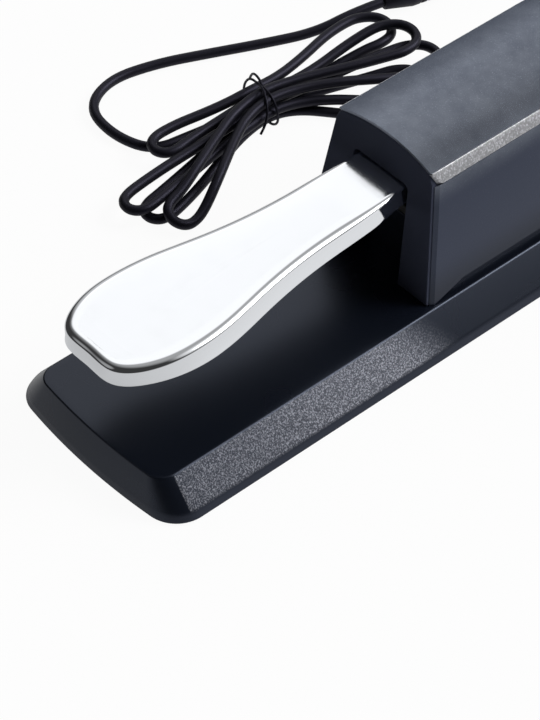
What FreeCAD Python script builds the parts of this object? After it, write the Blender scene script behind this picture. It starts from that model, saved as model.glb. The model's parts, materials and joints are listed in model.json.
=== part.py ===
"""Keyboard sustain pedal: moulded base and housing, sprung metal lever, switch, and tied lead.

Millimetres. X is the width, -Y the toe, +Z up. The origin is on the floor, under the middle of the base.
"""
import FreeCAD
import Part
import math
import os

V = FreeCAD.Vector
X_AXIS = V(1, 0, 0)
Y_AXIS = V(0, 1, 0)
Z_AXIS = V(0, 0, 1)
FAR = 400.0

# Clearances
running_gap = 0.05
seat_gap = 0.3
trim_gap = 0.2

# Base case
base_length = 243.0
base_width = 88.0
deck_height = 15.4
rim_height = 1.0
flank_foot_height = 4.2
flank_foot_inset = 1.75
flank_top_inset = 10.8
flank_foot_toe = 0.5
toe_slope = 4.1
base_bow_radius = 265.0
base_corner_radius = 13.0
deck_corner_radius = 7.0
base_wall = 2.4
deck_wall = 2.5
rib_thickness = 1.6
rib_pitch = 40.0
fused_depth = 0.5

# Bottom plate, sole and their screws
sole_thickness = 1.6
sole_groove_pitch = 9.0
sole_groove_width = 3.0
sole_groove_depth = 0.7
sole_groove_margin = 9.0
sole_well_gap = 1.2
sole_inset = 3.4
sole_end_margin = 20.0
plate_thickness = 1.5
base_boss_radius = 3.6
base_boss_from_side = 15.5
base_boss_from_end = 15.0
screw_radius = 1.5
screw_head_radius = 2.8
screw_head_height = 1.2
screw_bite = 6.0
screw_boss_depth = 8.0

# Housing
housing_draft = 0.13
housing_side_inset = 18.3
housing_side_height = 48.9
chamfer_width = 2.6
chamfer_rise = 4.7
crown_rise = 3.8
housing_wall = 2.2
housing_length = 104.3
housing_front_lean = 0.123
housing_rear_setback = 9.5
housing_rear_round = 6.0
bevel_x = 1.5
bevel_y = 2.7
cover_lift = 4.4
cover_lift_start = 3.0
cover_lift_ramp = 14.0
upstand_start = 5.6
upstand_height = 4.7
upstand_wall = 1.1
cover_boss_radius = 3.6
cover_boss_inset = 1.1
cover_boss_from_front = 20.3
cover_boss_from_rear = 13.0
cover_boss_height = 22.0

# Front bezel and its mouth
bezel_depth = 4.5
rebate = 1.3
mouth_side_gap = 1.4
mouth_flare = 2.3
mouth_headroom = 1.0
mouth_round = 2.2

# Trim strips
strip_width_front = 4.9
strip_width_rear = 4.5
strip_thickness = 1.2
strip_rear_setback = 8.0

# Lever
pivot_from_front = 50.3
pivot_over_deck = 32.2
lever_tip_setback = 4.4
lever_tail_over_pusher = 5.0
lever_top_over_pivot = 8.8
lever_middle_dip = 2.2
lever_tip_dip = 1.8
lever_depth = 8.6
lever_middle_depth = 9.7
lever_tip_depth = 8.1
lever_sheet = 1.8
lever_edge_round = 1.7
neck_half = 12.2
neck_start = 6.3
paddle_half = 24.0
ear_half_length = 8.0
travel_angle = 7.5

# Pivot
axle_radius = 3.0
bush_radius = 4.5
bush_flange_radius = 6.0
bush_flange = 0.7
bracket_sheet = 2.0
bracket_gap = 0.3
bracket_length = 33.0
bracket_front = 13.0
bracket_ear_foot = 11.0
bracket_ear_round = 6.5
shelf_length = 8.0
upright_half = 11.0
bracket_screw_x = 8.0
bracket_screw_y = 8.0
bracket_screw_shift = 4.5
clip_thickness = 0.8
clip_radius = 5.0
clip_gap = 3.2
axle_groove_depth = 0.6
axle_overhang = 2.6

# Spring
spring_from_pivot = 21.0
spring_radius = 6.5
spring_wire = 1.4
spring_turns = 6.5
spring_seat_radius = 7.6
spring_seat_plate = 2.0
spring_post = 6.0
spring_post_gap = 0.6
spring_post_taper = 0.8
spring_guide_rim = 1.5

# Stops
stop_from_front = 13.3
stop_length = 8.0
stop_half = 14.0
stop_rubber = 4.0
stop_post_inset = 2.0
stop_post_wall = 2.0
felt_thickness = 2.4

# Switch
switch_from_bracket = 2.0
switch_length = 20.0
switch_width = 6.4
switch_height = 10.0
switch_below_pivot = 3.6
small_screw_radius = 1.05
small_screw_head = 1.9
small_screw_pitch = 10.0
small_screw_height = 3.0
switch_foot_length = 12.0
switch_foot_pitch = 12.0
leaf_thickness = 0.4
leaf_width = 4.0
leaf_lift = 1.3
leaf_pivot_inset = 1.5
plunger_radius = 0.8
plunger_offset = 4.5
pusher_offset = 14.5
pusher_size = 5.0
pusher_flange_half = 7.0
pusher_flange = 1.5
pusher_gap = 0.15
pusher_nose_round = 1.2
leaf_pin_radius = 0.5

# Polarity slide switch
polarity_from_side = 8.7
polarity_over_deck = 14.6
polarity_travel = 3.0
polarity_knob = 3.0
polarity_slot_height = 3.6
polarity_pitch = 16.0
polarity_ear_half = 10.0
polarity_can_half = 6.0
polarity_can_depth = 5.7
polarity_can_height = 7.0
polarity_sheet = 0.8

# Lead
cord_radius = 2.0
exit_over_deck = 14.6
relief_length = 26.0
relief_root_radius = 4.6
relief_tip_radius = 3.0
wall_hole_radius = 4.0
relief_flange_rim = 1.6
relief_flange = 2.0
relief_groove = 1.4
relief_groove_pitch = 3.8
relief_groove_count = 5
clamp_half = 3.0
clamp_screw_x = 9.0
clamp_from_rear = 8.0
clamp_foot = 2.0
clamp_wall = 1.6
core_radius = 0.6
terminal_length = 4.0
terminal_pitch = 7.0

# Hank: its tie, and the headings of its two halves, in degrees from +X
tie_x = -95.0
tie_y = 42.0
heading_left = 99.8
heading_right = 74.3
bend_half = 25.0
layer_step = 4.68
floor_gap = 0.1
strand_step = 4.7
tie_lift = 1.3
tie_wire_radius = 0.5
fold_half = 5.5
turn_half = 9.0

# Plug
plug_x = -113.0
plug_y = 120.0
plug_heading = 78.0
plug_grip_radius = 5.4
plug_grip_length = 34.0
plug_sleeve_radius = 3.175
plug_sleeve_length = 22.0
plug_ring_length = 1.2
plug_tip_length = 7.3
plug_insulator_inset = 0.4
plug_grip_taper = 12.0
plug_groove_count = 5
plug_groove_pitch = 3.2
plug_groove = 1.2
plug_collar_radius = 4.4
plug_collar = 1.2
plug_spigot_radius = 2.55
plug_spigot = 2.9

# Worked out from the sizes above
front_y = -base_length / 2
rear_y = base_length / 2
base_half = base_width / 2
deck_underside = deck_height - deck_wall
plate_low = sole_thickness
plate_high = plate_low + plate_thickness
base_boss_x = base_half - base_boss_from_side
base_boss_y = rear_y - base_boss_from_end
housing_rear_y = rear_y - housing_rear_setback
housing_front_y = housing_rear_y - housing_length
chamfer_low_half = base_half - housing_side_inset
chamfer_low_height = deck_height + housing_side_height
chamfer_high_half = chamfer_low_half - chamfer_width
chamfer_high_height = chamfer_low_height + chamfer_rise
cover_boss_x = chamfer_low_half - cover_boss_inset
cover_boss_front_y = housing_front_y + cover_boss_from_front
cover_boss_rear_y = housing_rear_y - cover_boss_from_rear
strip_rear_y = housing_rear_y - strip_rear_setback
pivot_y = housing_front_y + pivot_from_front
pivot_height = deck_height + pivot_over_deck
lever_top = pivot_height + lever_top_over_pivot
lever_tip_y = front_y + lever_tip_setback
neck_front_y = housing_front_y + neck_start
mouth_top_half = neck_half + mouth_side_gap
mouth_foot_half = mouth_top_half + mouth_flare
mouth_top_height = lever_top + mouth_headroom
spring_y = pivot_y - spring_from_pivot
stop_y = housing_front_y + stop_from_front
lever_inner_half = neck_half - lever_sheet
ear_x = neck_half + bush_flange + bracket_gap
bracket_low = deck_height
bracket_high = deck_height + bracket_sheet
bracket_end_y = pivot_y - bracket_front + bracket_length
felt_front_y = bracket_end_y - shelf_length
switch_front_y = bracket_end_y + switch_from_bracket
switch_y = switch_front_y + switch_length / 2
switch_top = pivot_height - switch_below_pivot
leaf_pivot_y = switch_front_y + leaf_pivot_inset
lever_tail_y = leaf_pivot_y + pusher_offset + lever_tail_over_pusher
polarity_x = chamfer_low_half - polarity_from_side
polarity_height = deck_height + polarity_over_deck
exit_height = deck_height + exit_over_deck
leaf_low = switch_top + leaf_lift
leaf_high = leaf_low + leaf_thickness
switch_bracket_x = switch_width / 2
switch_bracket_half = switch_length / 2 - 1.0


def block(x0, x1, y0, y1, z0, z1):
    """A plain rectangular solid between two corners."""
    return Part.makeBox(x1 - x0, y1 - y0, z1 - z0, V(x0, y0, z0))


def rod(radius, start, end):
    """A cylinder from one point to another."""
    axis = end - start
    return Part.makeCylinder(radius, axis.Length, start, axis)


def prism_x(points, x0, x1):
    """A solid with a closed (y, z) outline, drawn out along X."""
    corners = [V(x0, y, z) for y, z in points]
    return Part.Face(Part.makePolygon(corners + corners[:1])).extrude(V(x1 - x0, 0, 0))


def prism_y(points, y0, y1):
    """A solid with a closed (x, z) outline, drawn out along Y."""
    corners = [V(x, y0, z) for x, z in points]
    return Part.Face(Part.makePolygon(corners + corners[:1])).extrude(V(0, y1 - y0, 0))


def mirrored(shape):
    """The same shape on the other side of the middle plane."""
    return shape.mirror(V(0, 0, 0), X_AXIS)


def both_sides(shape):
    """A shape fused with its mirror image."""
    return shape.fuse(mirrored(shape))


def screw(head_face, direction, length=screw_bite):
    """A pan-head screw. head_face is where the underside of its head bears, direction points to its tip."""
    back = head_face - direction * screw_head_height
    crown = screw_head_height * 0.45
    head = Part.makeCone(screw_head_radius - crown, screw_head_radius, crown, back, direction)
    rim = Part.makeCylinder(screw_head_radius, screw_head_height - crown, back + direction * crown, direction)
    shank = Part.makeCylinder(screw_radius, length, head_face, direction)
    side = Z_AXIS.cross(direction)
    if side.Length < 0.5:
        side = X_AXIS
    side.normalize()
    return head.fuse([rim, shank]).cut(drive_slot(back, direction, side))


def drive_slot(back, direction, side):
    """The cross recess in a screw's head."""
    other = direction.cross(side)
    depth = screw_head_height * 0.6
    arms = []
    for along, across in ((side, other), (other, side)):
        corner = back - along * (screw_head_radius * 0.6) - across * 0.35
        edge_a = along * (screw_head_radius * 1.2)
        edge_b = across * 0.7
        face = Part.Face(Part.makePolygon([corner, corner + edge_a, corner + edge_a + edge_b,
                                           corner + edge_b, corner]))
        arms.append(face.extrude(direction * depth))
    return arms[0].fuse(arms[1])


def group(solids):
    """Separate solids kept in one node."""
    return Part.makeCompound(solids)


def base_outline(half, toe_y, heel_y, corner, z):
    """Plan outline of the base: bowed toe, straight sides and heel, rounded corners."""
    bow_centre = V(0, toe_y + base_bow_radius, z)
    corner_y = bow_centre.y - math.sqrt((base_bow_radius - corner) ** 2 - (half - corner) ** 2)
    corner_centre = V(half - corner, corner_y, z)
    out = (corner_centre - bow_centre).normalize()
    bow_end = bow_centre + out * base_bow_radius
    middle = (out + X_AXIS).normalize()
    corner_mid = corner_centre + middle * corner
    s = corner * math.sqrt(0.5)
    heel_mid = V(half - corner + s, heel_y - corner + s, z)

    def left(p):
        return V(-p.x, p.y, p.z)

    side_low = V(half, corner_y, z)
    side_high = V(half, heel_y - corner, z)
    heel_end = V(half - corner, heel_y, z)
    edges = [Part.Arc(left(bow_end), V(0, toe_y, z), bow_end).toShape(),
             Part.Arc(bow_end, corner_mid, side_low).toShape(),
             Part.LineSegment(side_low, side_high).toShape(),
             Part.Arc(side_high, heel_mid, heel_end).toShape(),
             Part.LineSegment(heel_end, left(heel_end)).toShape(),
             Part.Arc(left(heel_end), left(heel_mid), left(side_high)).toShape(),
             Part.LineSegment(left(side_high), left(side_low)).toShape(),
             Part.Arc(left(side_low), left(corner_mid), left(bow_end)).toShape()]
    return Part.Wire(edges)


def outline_at(height, inset):
    """The base's plan outline at a height on its slopes, drawn in by an inset."""
    if height <= flank_foot_height:
        share = (height - rim_height) / (flank_foot_height - rim_height)
        side_in = flank_foot_inset * share
        toe_in = flank_foot_toe * share
        corner = base_corner_radius
    else:
        share = (height - flank_foot_height) / (deck_height - flank_foot_height)
        side_in = flank_foot_inset + (flank_top_inset - flank_foot_inset) * share
        toe_in = flank_foot_toe + (toe_slope - flank_foot_toe) * share
        corner = base_corner_radius + (deck_corner_radius - base_corner_radius) * share
    corner = max(corner - inset, 2.0)
    return base_outline(base_half - side_in - inset, front_y + toe_in + inset,
                        rear_y - toe_in - inset, corner, height)


def base_shell():
    """The outer form of the lower case, hollowed from below."""
    heights = [rim_height, flank_foot_height, deck_height]
    outer = Part.makeLoft([outline_at(h, 0.0) for h in heights], True, True)
    inner_heights = [rim_height, flank_foot_height, deck_underside]
    insets = [base_wall, base_wall, base_wall * 1.3]
    inner = Part.makeLoft([outline_at(h, i) for h, i in zip(inner_heights, insets)], True, True)
    mouth_face = Part.Face(outline_at(rim_height, base_wall)).extrude(V(0, 0, -rim_height))
    return outer.cut(inner).cut(mouth_face)


def base_boss_places():
    """Where the bottom plate's screws go."""
    return [(sx * base_boss_x, y) for y in (-base_boss_y, 0.0, base_boss_y) for sx in (-1, 1)]


def cover_boss_places():
    """Where the housing's screws go."""
    return [(sx * cover_boss_x, y) for y in (cover_boss_front_y, cover_boss_rear_y) for sx in (-1, 1)]


def bracket_screw_places():
    """Where the pivot bracket's screws go."""
    middle = bracket_end_y - bracket_length / 2 - bracket_screw_shift
    return [(sx * bracket_screw_x, middle + sy * bracket_screw_y) for sy in (-1, 1) for sx in (-1, 1)]


def deck_ribs():
    """Cross ribs and bosses under the deck, down to just above the bottom plate."""
    room = Part.makeLoft([outline_at(rim_height, base_wall), outline_at(deck_height, base_wall)], True, True)
    rib_low = plate_high + seat_gap
    ribs = []
    for i in (-2, -1, 1, 2):
        y = i * rib_pitch
        ribs.append(block(-base_half, base_half, y - rib_thickness / 2, y + rib_thickness / 2,
                          rib_low, deck_height - fused_depth))
    shape = ribs[0].multiFuse(ribs[1:])
    shape = shape.common(room)
    bosses = [rod(base_boss_radius, V(x, y, plate_high), V(x, y, deck_height - fused_depth))
              for x, y in base_boss_places()]
    boss_low = bracket_low - screw_boss_depth
    bosses += [rod(base_boss_radius, V(x, y, boss_low), V(x, y, deck_height - fused_depth))
               for x, y in bracket_screw_places()]
    return shape.multiFuse(bosses)


def housing_outline(y, inset, foot):
    """The housing's cross-section at a given y: drafted sides, chamfers and a crown."""
    foot_half = chamfer_low_half + housing_draft * (chamfer_low_height - foot)
    left = V(-chamfer_high_half, y, chamfer_high_height)
    crown = V(0, y, chamfer_high_height + crown_rise)
    right = V(chamfer_high_half, y, chamfer_high_height)
    corners = [right, V(chamfer_low_half, y, chamfer_low_height), V(foot_half, y, foot),
               V(-foot_half, y, foot), V(-chamfer_low_half, y, chamfer_low_height), left]
    edges = [Part.Arc(left, crown, right).toShape()]
    edges += [Part.LineSegment(a, b).toShape() for a, b in zip(corners, corners[1:])]
    wire = Part.Wire(edges)
    if inset:
        wire = wire.makeOffset2D(-inset, 2)
    return wire


def housing_prism(inset, y0, y1, foot):
    """The cross-section drawn out along Y."""
    return Part.Face(housing_outline(y0, inset, foot)).extrude(V(0, y1 - y0, 0))


def front_plane_y(z, offset=0.0):
    """The leaning front plane, at a height."""
    return housing_front_y + housing_front_lean * (z - deck_height) + offset


def ahead_of_front(offset):
    """Everything in front of the leaning front plane, moved back by an offset."""
    low = -20.0
    high = 120.0
    return prism_x([(-FAR, low), (front_plane_y(low, offset), low),
                    (front_plane_y(high, offset), high), (-FAR, high)], -FAR, FAR)


def side_half(z):
    """Half the housing's width at a height on its drafted sides."""
    return chamfer_low_half + housing_draft * (chamfer_low_height - z)


def front_edge_bevel():
    """The wedge that bevels the right front edge of the housing."""
    low = 0.0
    height = 90.0
    inner = V(side_half(low) - bevel_x, front_plane_y(low), low)
    outer = V(side_half(low), front_plane_y(low) + bevel_y, low)
    run = (outer - inner).normalize()
    reach = run * 12.0
    spare = V(20.0, -20.0, 0)
    corner = [inner - reach, outer + reach, V(outer.x, inner.y, low) + spare]
    rise = V(-housing_draft * height, housing_front_lean * height, height)
    return Part.Face(Part.makePolygon(corner + corner[:1])).extrude(rise)


def cover_underside():
    """The region under the housing cover: down to the deck at the front, then up a ramp."""
    ramp_y = housing_front_y + cover_lift_start
    top = deck_height + cover_lift
    low = deck_height + trim_gap
    return prism_x([(-FAR, -50.0), (FAR, -50.0), (FAR, top), (ramp_y + cover_lift_ramp, top),
                    (ramp_y, low), (-FAR, low)], -FAR, FAR)


def upstand():
    """The thin wall on the deck, just inside the cover's wall, that locates the cover."""
    outer = housing_wall + trim_gap
    inner = outer + upstand_wall
    foot = deck_height - fused_depth
    ring = housing_prism(outer, 0.0, housing_rear_y - outer, foot - 10.0)
    ring = ring.cut(housing_prism(inner, -1.0, housing_rear_y - inner, foot - 20.0))
    kept = block(-FAR, FAR, housing_front_y + upstand_start, FAR, foot, deck_height + upstand_height)
    for x, y in cover_boss_places():
        kept = kept.cut(rod(cover_boss_radius + trim_gap, V(x, y, 0), V(x, y, FAR)))
    return ring.common(kept)


def outside_rear_round():
    """What the rounded rear upright edges of the housing take away."""
    r = housing_rear_round
    low = V(side_half(0.0), housing_rear_y, 0.0)
    height = 100.0
    rise = V(-housing_draft * height, 0, height)
    a = low + V(0, -r, 0)
    b = low + V(-r, 0, 0)
    centre = low + V(-r, -r, 0)
    mid = centre + V(1, 1, 0).normalize() * r
    edges = [Part.Arc(a, mid, b).toShape(), Part.LineSegment(b, low + V(-r, 5, 0)).toShape(),
             Part.LineSegment(low + V(-r, 5, 0), low + V(5, 5, 0)).toShape(),
             Part.LineSegment(low + V(5, 5, 0), low + V(5, -r, 0)).toShape(),
             Part.LineSegment(low + V(5, -r, 0), a).toShape()]
    return both_sides(Part.Face(Part.Wire(edges)).extrude(rise))


def stop_post():
    """The moulded post behind the mouth that carries the rubber stop."""
    top = down_stop_top() - stop_rubber
    half = stop_half - stop_post_inset
    front = stop_y - stop_length / 2
    back = stop_y + stop_length / 2
    post = block(-half, half, front, back, deck_height - fused_depth, top)
    core = block(-half + stop_post_wall, half - stop_post_wall, front + stop_post_wall, back + 1.0,
                 deck_height + stop_post_wall, top - stop_post_wall)
    return post.cut(core)


def down_stop_top():
    """The rubber's top face: just under the lever's flanges when the pedal is fully down."""
    arm = pivot_y - stop_y + stop_length / 2
    flange = lever_top - lever_depth
    swing = math.radians(travel_angle)
    lowered = pivot_height + (flange - pivot_height) * math.cos(swing) - arm * math.sin(swing)
    return lowered - seat_gap


def base_case():
    shape = base_shell().fuse(deck_ribs()).fuse(upstand()).fuse(stop_post())
    for x, y in base_boss_places():
        shape = shape.cut(rod(screw_radius + running_gap, V(x, y, 0), V(x, y, plate_high + screw_bite)))
    for x, y in bracket_screw_places():
        hole_low = bracket_low - screw_bite - 1.0
        shape = shape.cut(rod(screw_radius + running_gap, V(x, y, hole_low), V(x, y, FAR)))
    for x, y in cover_boss_places():
        shape = shape.cut(rod(screw_radius + running_gap, V(x, y, 0), V(x, y, deck_height + 1)))
    for x, y in switch_bracket_places():
        shape = shape.cut(rod(screw_radius + running_gap, V(x, y, 0), V(x, y, deck_height + 1)))
    x, y = clamp_screw_place()
    shape = shape.cut(rod(screw_radius + running_gap, V(x, y, 0), V(x, y, deck_height + 20)))
    return shape.removeSplitter()


def bottom_plate():
    plate = Part.Face(outline_at(plate_high, base_wall + trim_gap)).extrude(V(0, 0, -plate_thickness))
    for x, y in base_boss_places():
        plate = plate.cut(rod(screw_radius + running_gap, V(x, y, 0), V(x, y, 20)))
    return plate


def rubber_sole():
    sole = Part.Face(outline_at(rim_height, sole_inset)).extrude(V(0, 0, sole_thickness))
    sole.translate(V(0, 0, -rim_height))
    grooves = []
    count = int((base_length - 2 * sole_end_margin) / sole_groove_pitch)
    half = base_half - sole_groove_margin
    for i in range(count):
        y = (i - (count - 1) / 2) * sole_groove_pitch
        grooves.append(block(-half, half, y - sole_groove_width / 2, y + sole_groove_width / 2,
                             -1.0, sole_groove_depth))
    wells = [rod(screw_head_radius + sole_well_gap, V(x, y, -1), V(x, y, 2 * sole_thickness))
             for x, y in base_boss_places()]
    return sole.cut(Part.makeCompound(grooves)).cut(Part.makeCompound(wells))


def base_screws():
    return group([screw(V(x, y, plate_low), Z_AXIS) for x, y in base_boss_places()])


def cover_screws():
    return group([screw(V(x, y, deck_underside), Z_AXIS, deck_wall + screw_bite)
                  for x, y in cover_boss_places()])


def strip_profile(y, width, thickness, lift):
    """A strip's cross-section lying on the right chamfer. lift moves it out of the face."""
    low = V(chamfer_low_half, y, chamfer_low_height)
    high = V(chamfer_high_half, y, chamfer_high_height)
    along = (high - low).normalize()
    out = V(along.z, 0, -along.x)
    middle = (low + high) * 0.5 + out * lift
    half = along * (width / 2)
    corners = [middle - half, middle + half, middle + half - out * thickness, middle - half - out * thickness]
    return Part.Wire(Part.makePolygon(corners + corners[:1]).Edges)


def strip_body(width_gap, thickness, lift, rear):
    """The right strip, or with wider values the channel that it lies in."""
    return Part.makeLoft([strip_profile(0.0, strip_width_front + width_gap, thickness, lift),
                          strip_profile(rear, strip_width_rear + width_gap, thickness, lift)], True, True)


def trim_strip():
    strip = strip_body(0.0, strip_thickness, trim_gap, strip_rear_y)
    front = front_edge_bevel()
    front.translate(V(0, 0.25, 0))
    return strip.cut(ahead_of_front(0.15)).cut(front)


def mouth_cutter():
    """The opening in the front: wider at its foot, rounded at its top corners."""
    f = mouth_foot_half
    t = mouth_top_half
    top = mouth_top_height
    low = deck_height - 5.0
    cutter = prism_y([(-f, low), (f, low), (t, top), (-t, top)], -FAR / 4, FAR / 4)
    edges = [e for e in cutter.Edges if abs(e.BoundBox.ZMin - top) < 0.01 and e.BoundBox.YLength > FAR / 4]
    return cutter.makeFillet(mouth_round, edges)


def front_bezel():
    plate = housing_prism(housing_wall - rebate + trim_gap, 0.0, 40.0, deck_height - 10.0)
    plate = plate.cut(ahead_of_front(0.0)).common(ahead_of_front(bezel_depth))
    plate = plate.cut(block(-FAR, FAR, -FAR, FAR, -50.0, deck_height + trim_gap))
    bevel = front_edge_bevel()
    plate = plate.cut(bevel).cut(mirrored(bevel))
    return plate.cut(mouth_cutter())


def cover_bosses():
    """Four screw tubes inside the housing, each tied to the side wall by a rib."""
    parts = []
    top = deck_height + cover_boss_height
    for x, y in cover_boss_places():
        side = math.copysign(1, x)
        tube = rod(cover_boss_radius, V(x, y, deck_height), V(x, y, top))
        wall_x = side * (side_half(top) - housing_wall / 2)
        rib = block(min(x, wall_x), max(x, wall_x), y - rib_thickness / 2, y + rib_thickness / 2,
                    deck_height + upstand_height + seat_gap, top)
        parts.append(tube.fuse(rib))
    return parts


def housing_cover():
    outer = housing_prism(0.0, 0.0, housing_rear_y, deck_height - 5.0)
    hollow = housing_prism(housing_wall, -1.0, housing_rear_y - housing_wall, deck_height - 12.0)
    seat = housing_prism(housing_wall - rebate, -1.0, 60.0, deck_height - 12.0)
    seat = seat.common(ahead_of_front(bezel_depth + trim_gap))
    bevel = front_edge_bevel()
    shape = outer.cut(ahead_of_front(0.0)).cut(bevel).cut(mirrored(bevel)).cut(outside_rear_round())
    shape = shape.cut(hollow).cut(seat)
    shape = shape.multiFuse(cover_bosses())
    shape = shape.cut(cover_underside().cut(boss_keep()))
    channel = strip_body(2 * trim_gap, strip_thickness, 0.0, strip_rear_y + trim_gap)
    shape = shape.cut(channel).cut(mirrored(channel))
    for x, y in cover_boss_places():
        shape = shape.cut(rod(screw_radius + running_gap, V(x, y, 0), V(x, y, deck_height + screw_bite + 1)))
    shape = shape.cut(rod(wall_hole_radius, V(0, housing_rear_y - 8, exit_height),
                          V(0, housing_rear_y + 8, exit_height)))
    half_slot = (polarity_travel + polarity_knob) / 2 + 0.4
    shape = shape.cut(block(polarity_x - half_slot, polarity_x + half_slot, housing_rear_y - 8,
                            housing_rear_y + 8, polarity_height - polarity_slot_height / 2,
                            polarity_height + polarity_slot_height / 2))
    for side in (-1, 1):
        at = V(polarity_x + side * polarity_pitch / 2, housing_rear_y - 8, polarity_height)
        shape = shape.cut(rod(screw_radius + running_gap, at, at + Y_AXIS * 16))
    return shape.removeSplitter()


def boss_keep():
    """Room round each screw tube that the underside cut leaves alone, down to the deck."""
    tubes = [rod(cover_boss_radius, V(x, y, deck_height), V(x, y, deck_height + cover_boss_height))
             for x, y in cover_boss_places()]
    return Part.makeCompound(tubes)


def lever_side_points():
    """The right half of the lever's plan outline, from the neck to the tip.

    Each point of the paddle has its share of the flare from the neck, and of the length from the tip.
    """
    flare = [(0.18, 0.856), (0.24, 0.696), (0.55, 0.469), (0.945, 0.322), (0.97, 0.215), (0.72, 0.095),
             (0.02, 0.009)]
    flare_width = paddle_half - neck_half
    length = neck_front_y - lever_tip_y
    paddle = [(neck_half + flare_width * out, lever_tip_y + length * back) for out, back in flare]
    return [(neck_half, neck_front_y)] + paddle


def lever_outline(inset):
    """The lever's closed plan outline at z = 0, drawn in by an inset."""
    nose = lever_tip_y + 15.0
    right = [V(x - inset, y + (inset * 0.8 if y < nose else 0.0), 0) for x, y in lever_side_points()]
    tip = V(0, lever_tip_y + inset, 0)
    curve = Part.BSplineCurve()
    curve.interpolate(right + [tip] + [V(-p.x, p.y, 0) for p in reversed(right)],
                      InitialTangent=V(0.05, -1, 0) * 60, FinalTangent=V(0.05, 1, 0) * 60)
    half = neck_half - inset
    tail = lever_tail_y - inset
    lines = [V(-half, right[0].y, 0), V(-half, tail, 0), V(half, tail, 0), V(half, right[0].y, 0)]
    edges = [curve.toShape()] + [Part.LineSegment(a, b).toShape() for a, b in zip(lines, lines[1:])]
    return Part.Wire(edges)


def long_edge(heights):
    """A line along the lever in side view: level from the tail to the neck, then an arc to the tip."""
    at_neck, at_middle, at_tip = heights
    neck = V(0, neck_front_y, at_neck)
    middle = V(0, (neck_front_y + lever_tip_y) / 2, at_middle)
    tip = V(0, lever_tip_y - 1.0, at_tip)
    tail = V(0, lever_tail_y + 1.0, at_neck)
    return tail, tip, [Part.LineSegment(tail, neck).toShape(), Part.Arc(neck, middle, tip).toShape()]


def lever_slab(top_drop, foot_drop):
    """The lever's side view drawn out across its width, its top and its foot lowered."""
    dips = (0.0, lever_middle_dip, lever_tip_dip)
    depths = (lever_depth, lever_middle_depth, lever_tip_depth)
    top_tail, top_tip, top = long_edge([lever_top - dip - top_drop for dip in dips])
    feet = [lever_top - dip - depth - foot_drop for dip, depth in zip(dips, depths)]
    low_tail, low_tip, low = long_edge(feet)
    ends = [Part.LineSegment(top_tip, low_tip).toShape(), Part.LineSegment(low_tail, top_tail).toShape()]
    wire = Part.Wire(Part.__sortEdges__(top + low + ends))
    slab = Part.Face(wire).extrude(V(FAR / 2, 0, 0))
    slab.translate(V(-FAR / 4, 0, 0))
    return slab


def lever_part(inset, top_drop, foot_drop):
    """The slab cut to the lever's plan outline."""
    plan = Part.Face(lever_outline(inset)).extrude(V(0, 0, FAR / 2))
    return lever_slab(top_drop, foot_drop).common(plan)


def pedal_lever():
    body = lever_part(0.0, 0.0, 0.0)
    above = lever_top - lever_middle_dip - lever_edge_round
    rim = [e for e in body.Edges if e.BoundBox.ZMin > above and not crosses_neck(e)]
    body = body.makeFillet(lever_edge_round, rim)
    shape = body.cut(lever_part(lever_sheet, lever_sheet, 1.0))
    ears = lever_ear().fuse(mirrored(lever_ear()))
    shape = shape.fuse(ears)
    hole = rod(bush_radius + running_gap, V(-FAR, pivot_y, pivot_height), V(FAR, pivot_y, pivot_height))
    return shape.cut(hole).removeSplitter()


def crosses_neck(edge):
    """Whether an edge is the faint bend across the lever's top at the neck."""
    box = edge.BoundBox
    return box.YLength < 0.01 and abs(box.YMin - neck_front_y) < 0.01


def lever_ear():
    """The flange's deeper part at the pivot, with a round foot."""
    x0 = neck_half - lever_sheet
    top = lever_top - lever_sheet - 1.0
    plate = block(x0, neck_half, pivot_y - ear_half_length, pivot_y + ear_half_length, pivot_height, top)
    foot = Part.makeCylinder(ear_half_length, lever_sheet, V(x0, pivot_y, pivot_height), X_AXIS)
    return plate.fuse(foot)


def lever_bushes():
    bore = rod(axle_radius + running_gap, V(-FAR, pivot_y, pivot_height), V(FAR, pivot_y, pivot_height))
    barrel = rod(bush_radius, V(lever_inner_half, pivot_y, pivot_height), V(neck_half, pivot_y, pivot_height))
    flange = rod(bush_flange_radius, V(neck_half, pivot_y, pivot_height),
                 V(neck_half + bush_flange, pivot_y, pivot_height))
    bush = barrel.fuse(flange).cut(bore)
    return group([bush, mirrored(bush)])


def bracket_ear():
    """One upright ear of the pivot bracket, rounded over the axle."""
    low = bracket_low
    wide = bracket_ear_foot
    narrow = bracket_ear_round
    side = [(pivot_y - wide, low), (pivot_y + wide, low), (pivot_y + narrow, pivot_height),
            (pivot_y - narrow, pivot_height)]
    plate = prism_x(side, ear_x, ear_x + bracket_sheet)
    return plate.fuse(Part.makeCylinder(narrow, bracket_sheet, V(ear_x, pivot_y, pivot_height), X_AXIS))


def felt_seat_top():
    """Height of the bracket's rear shelf, which carries the felt."""
    return lever_top - lever_depth - seat_gap - felt_thickness


def pivot_bracket():
    end = bracket_end_y
    width = ear_x + bracket_sheet
    floor = block(-width, width, end - bracket_length, end, bracket_low, bracket_high)
    shelf = felt_seat_top()
    upright = block(-upright_half, upright_half, end - bracket_sheet, end, bracket_low, shelf)
    ledge = block(-neck_half, neck_half, felt_front_y, end, shelf - bracket_sheet, shelf)
    shape = floor.fuse(bracket_ear()).fuse(mirrored(bracket_ear())).fuse(upright).fuse(ledge)
    hole = rod(axle_radius + running_gap, V(-FAR, pivot_y, pivot_height), V(FAR, pivot_y, pivot_height))
    shape = shape.cut(hole)
    for x, y in bracket_screw_places():
        shape = shape.cut(rod(screw_radius + running_gap, V(x, y, 0), V(x, y, bracket_high + 1)))
    return shape.removeSplitter()


def bracket_screws():
    return group([screw(V(x, y, bracket_high), -Z_AXIS) for x, y in bracket_screw_places()])


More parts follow.
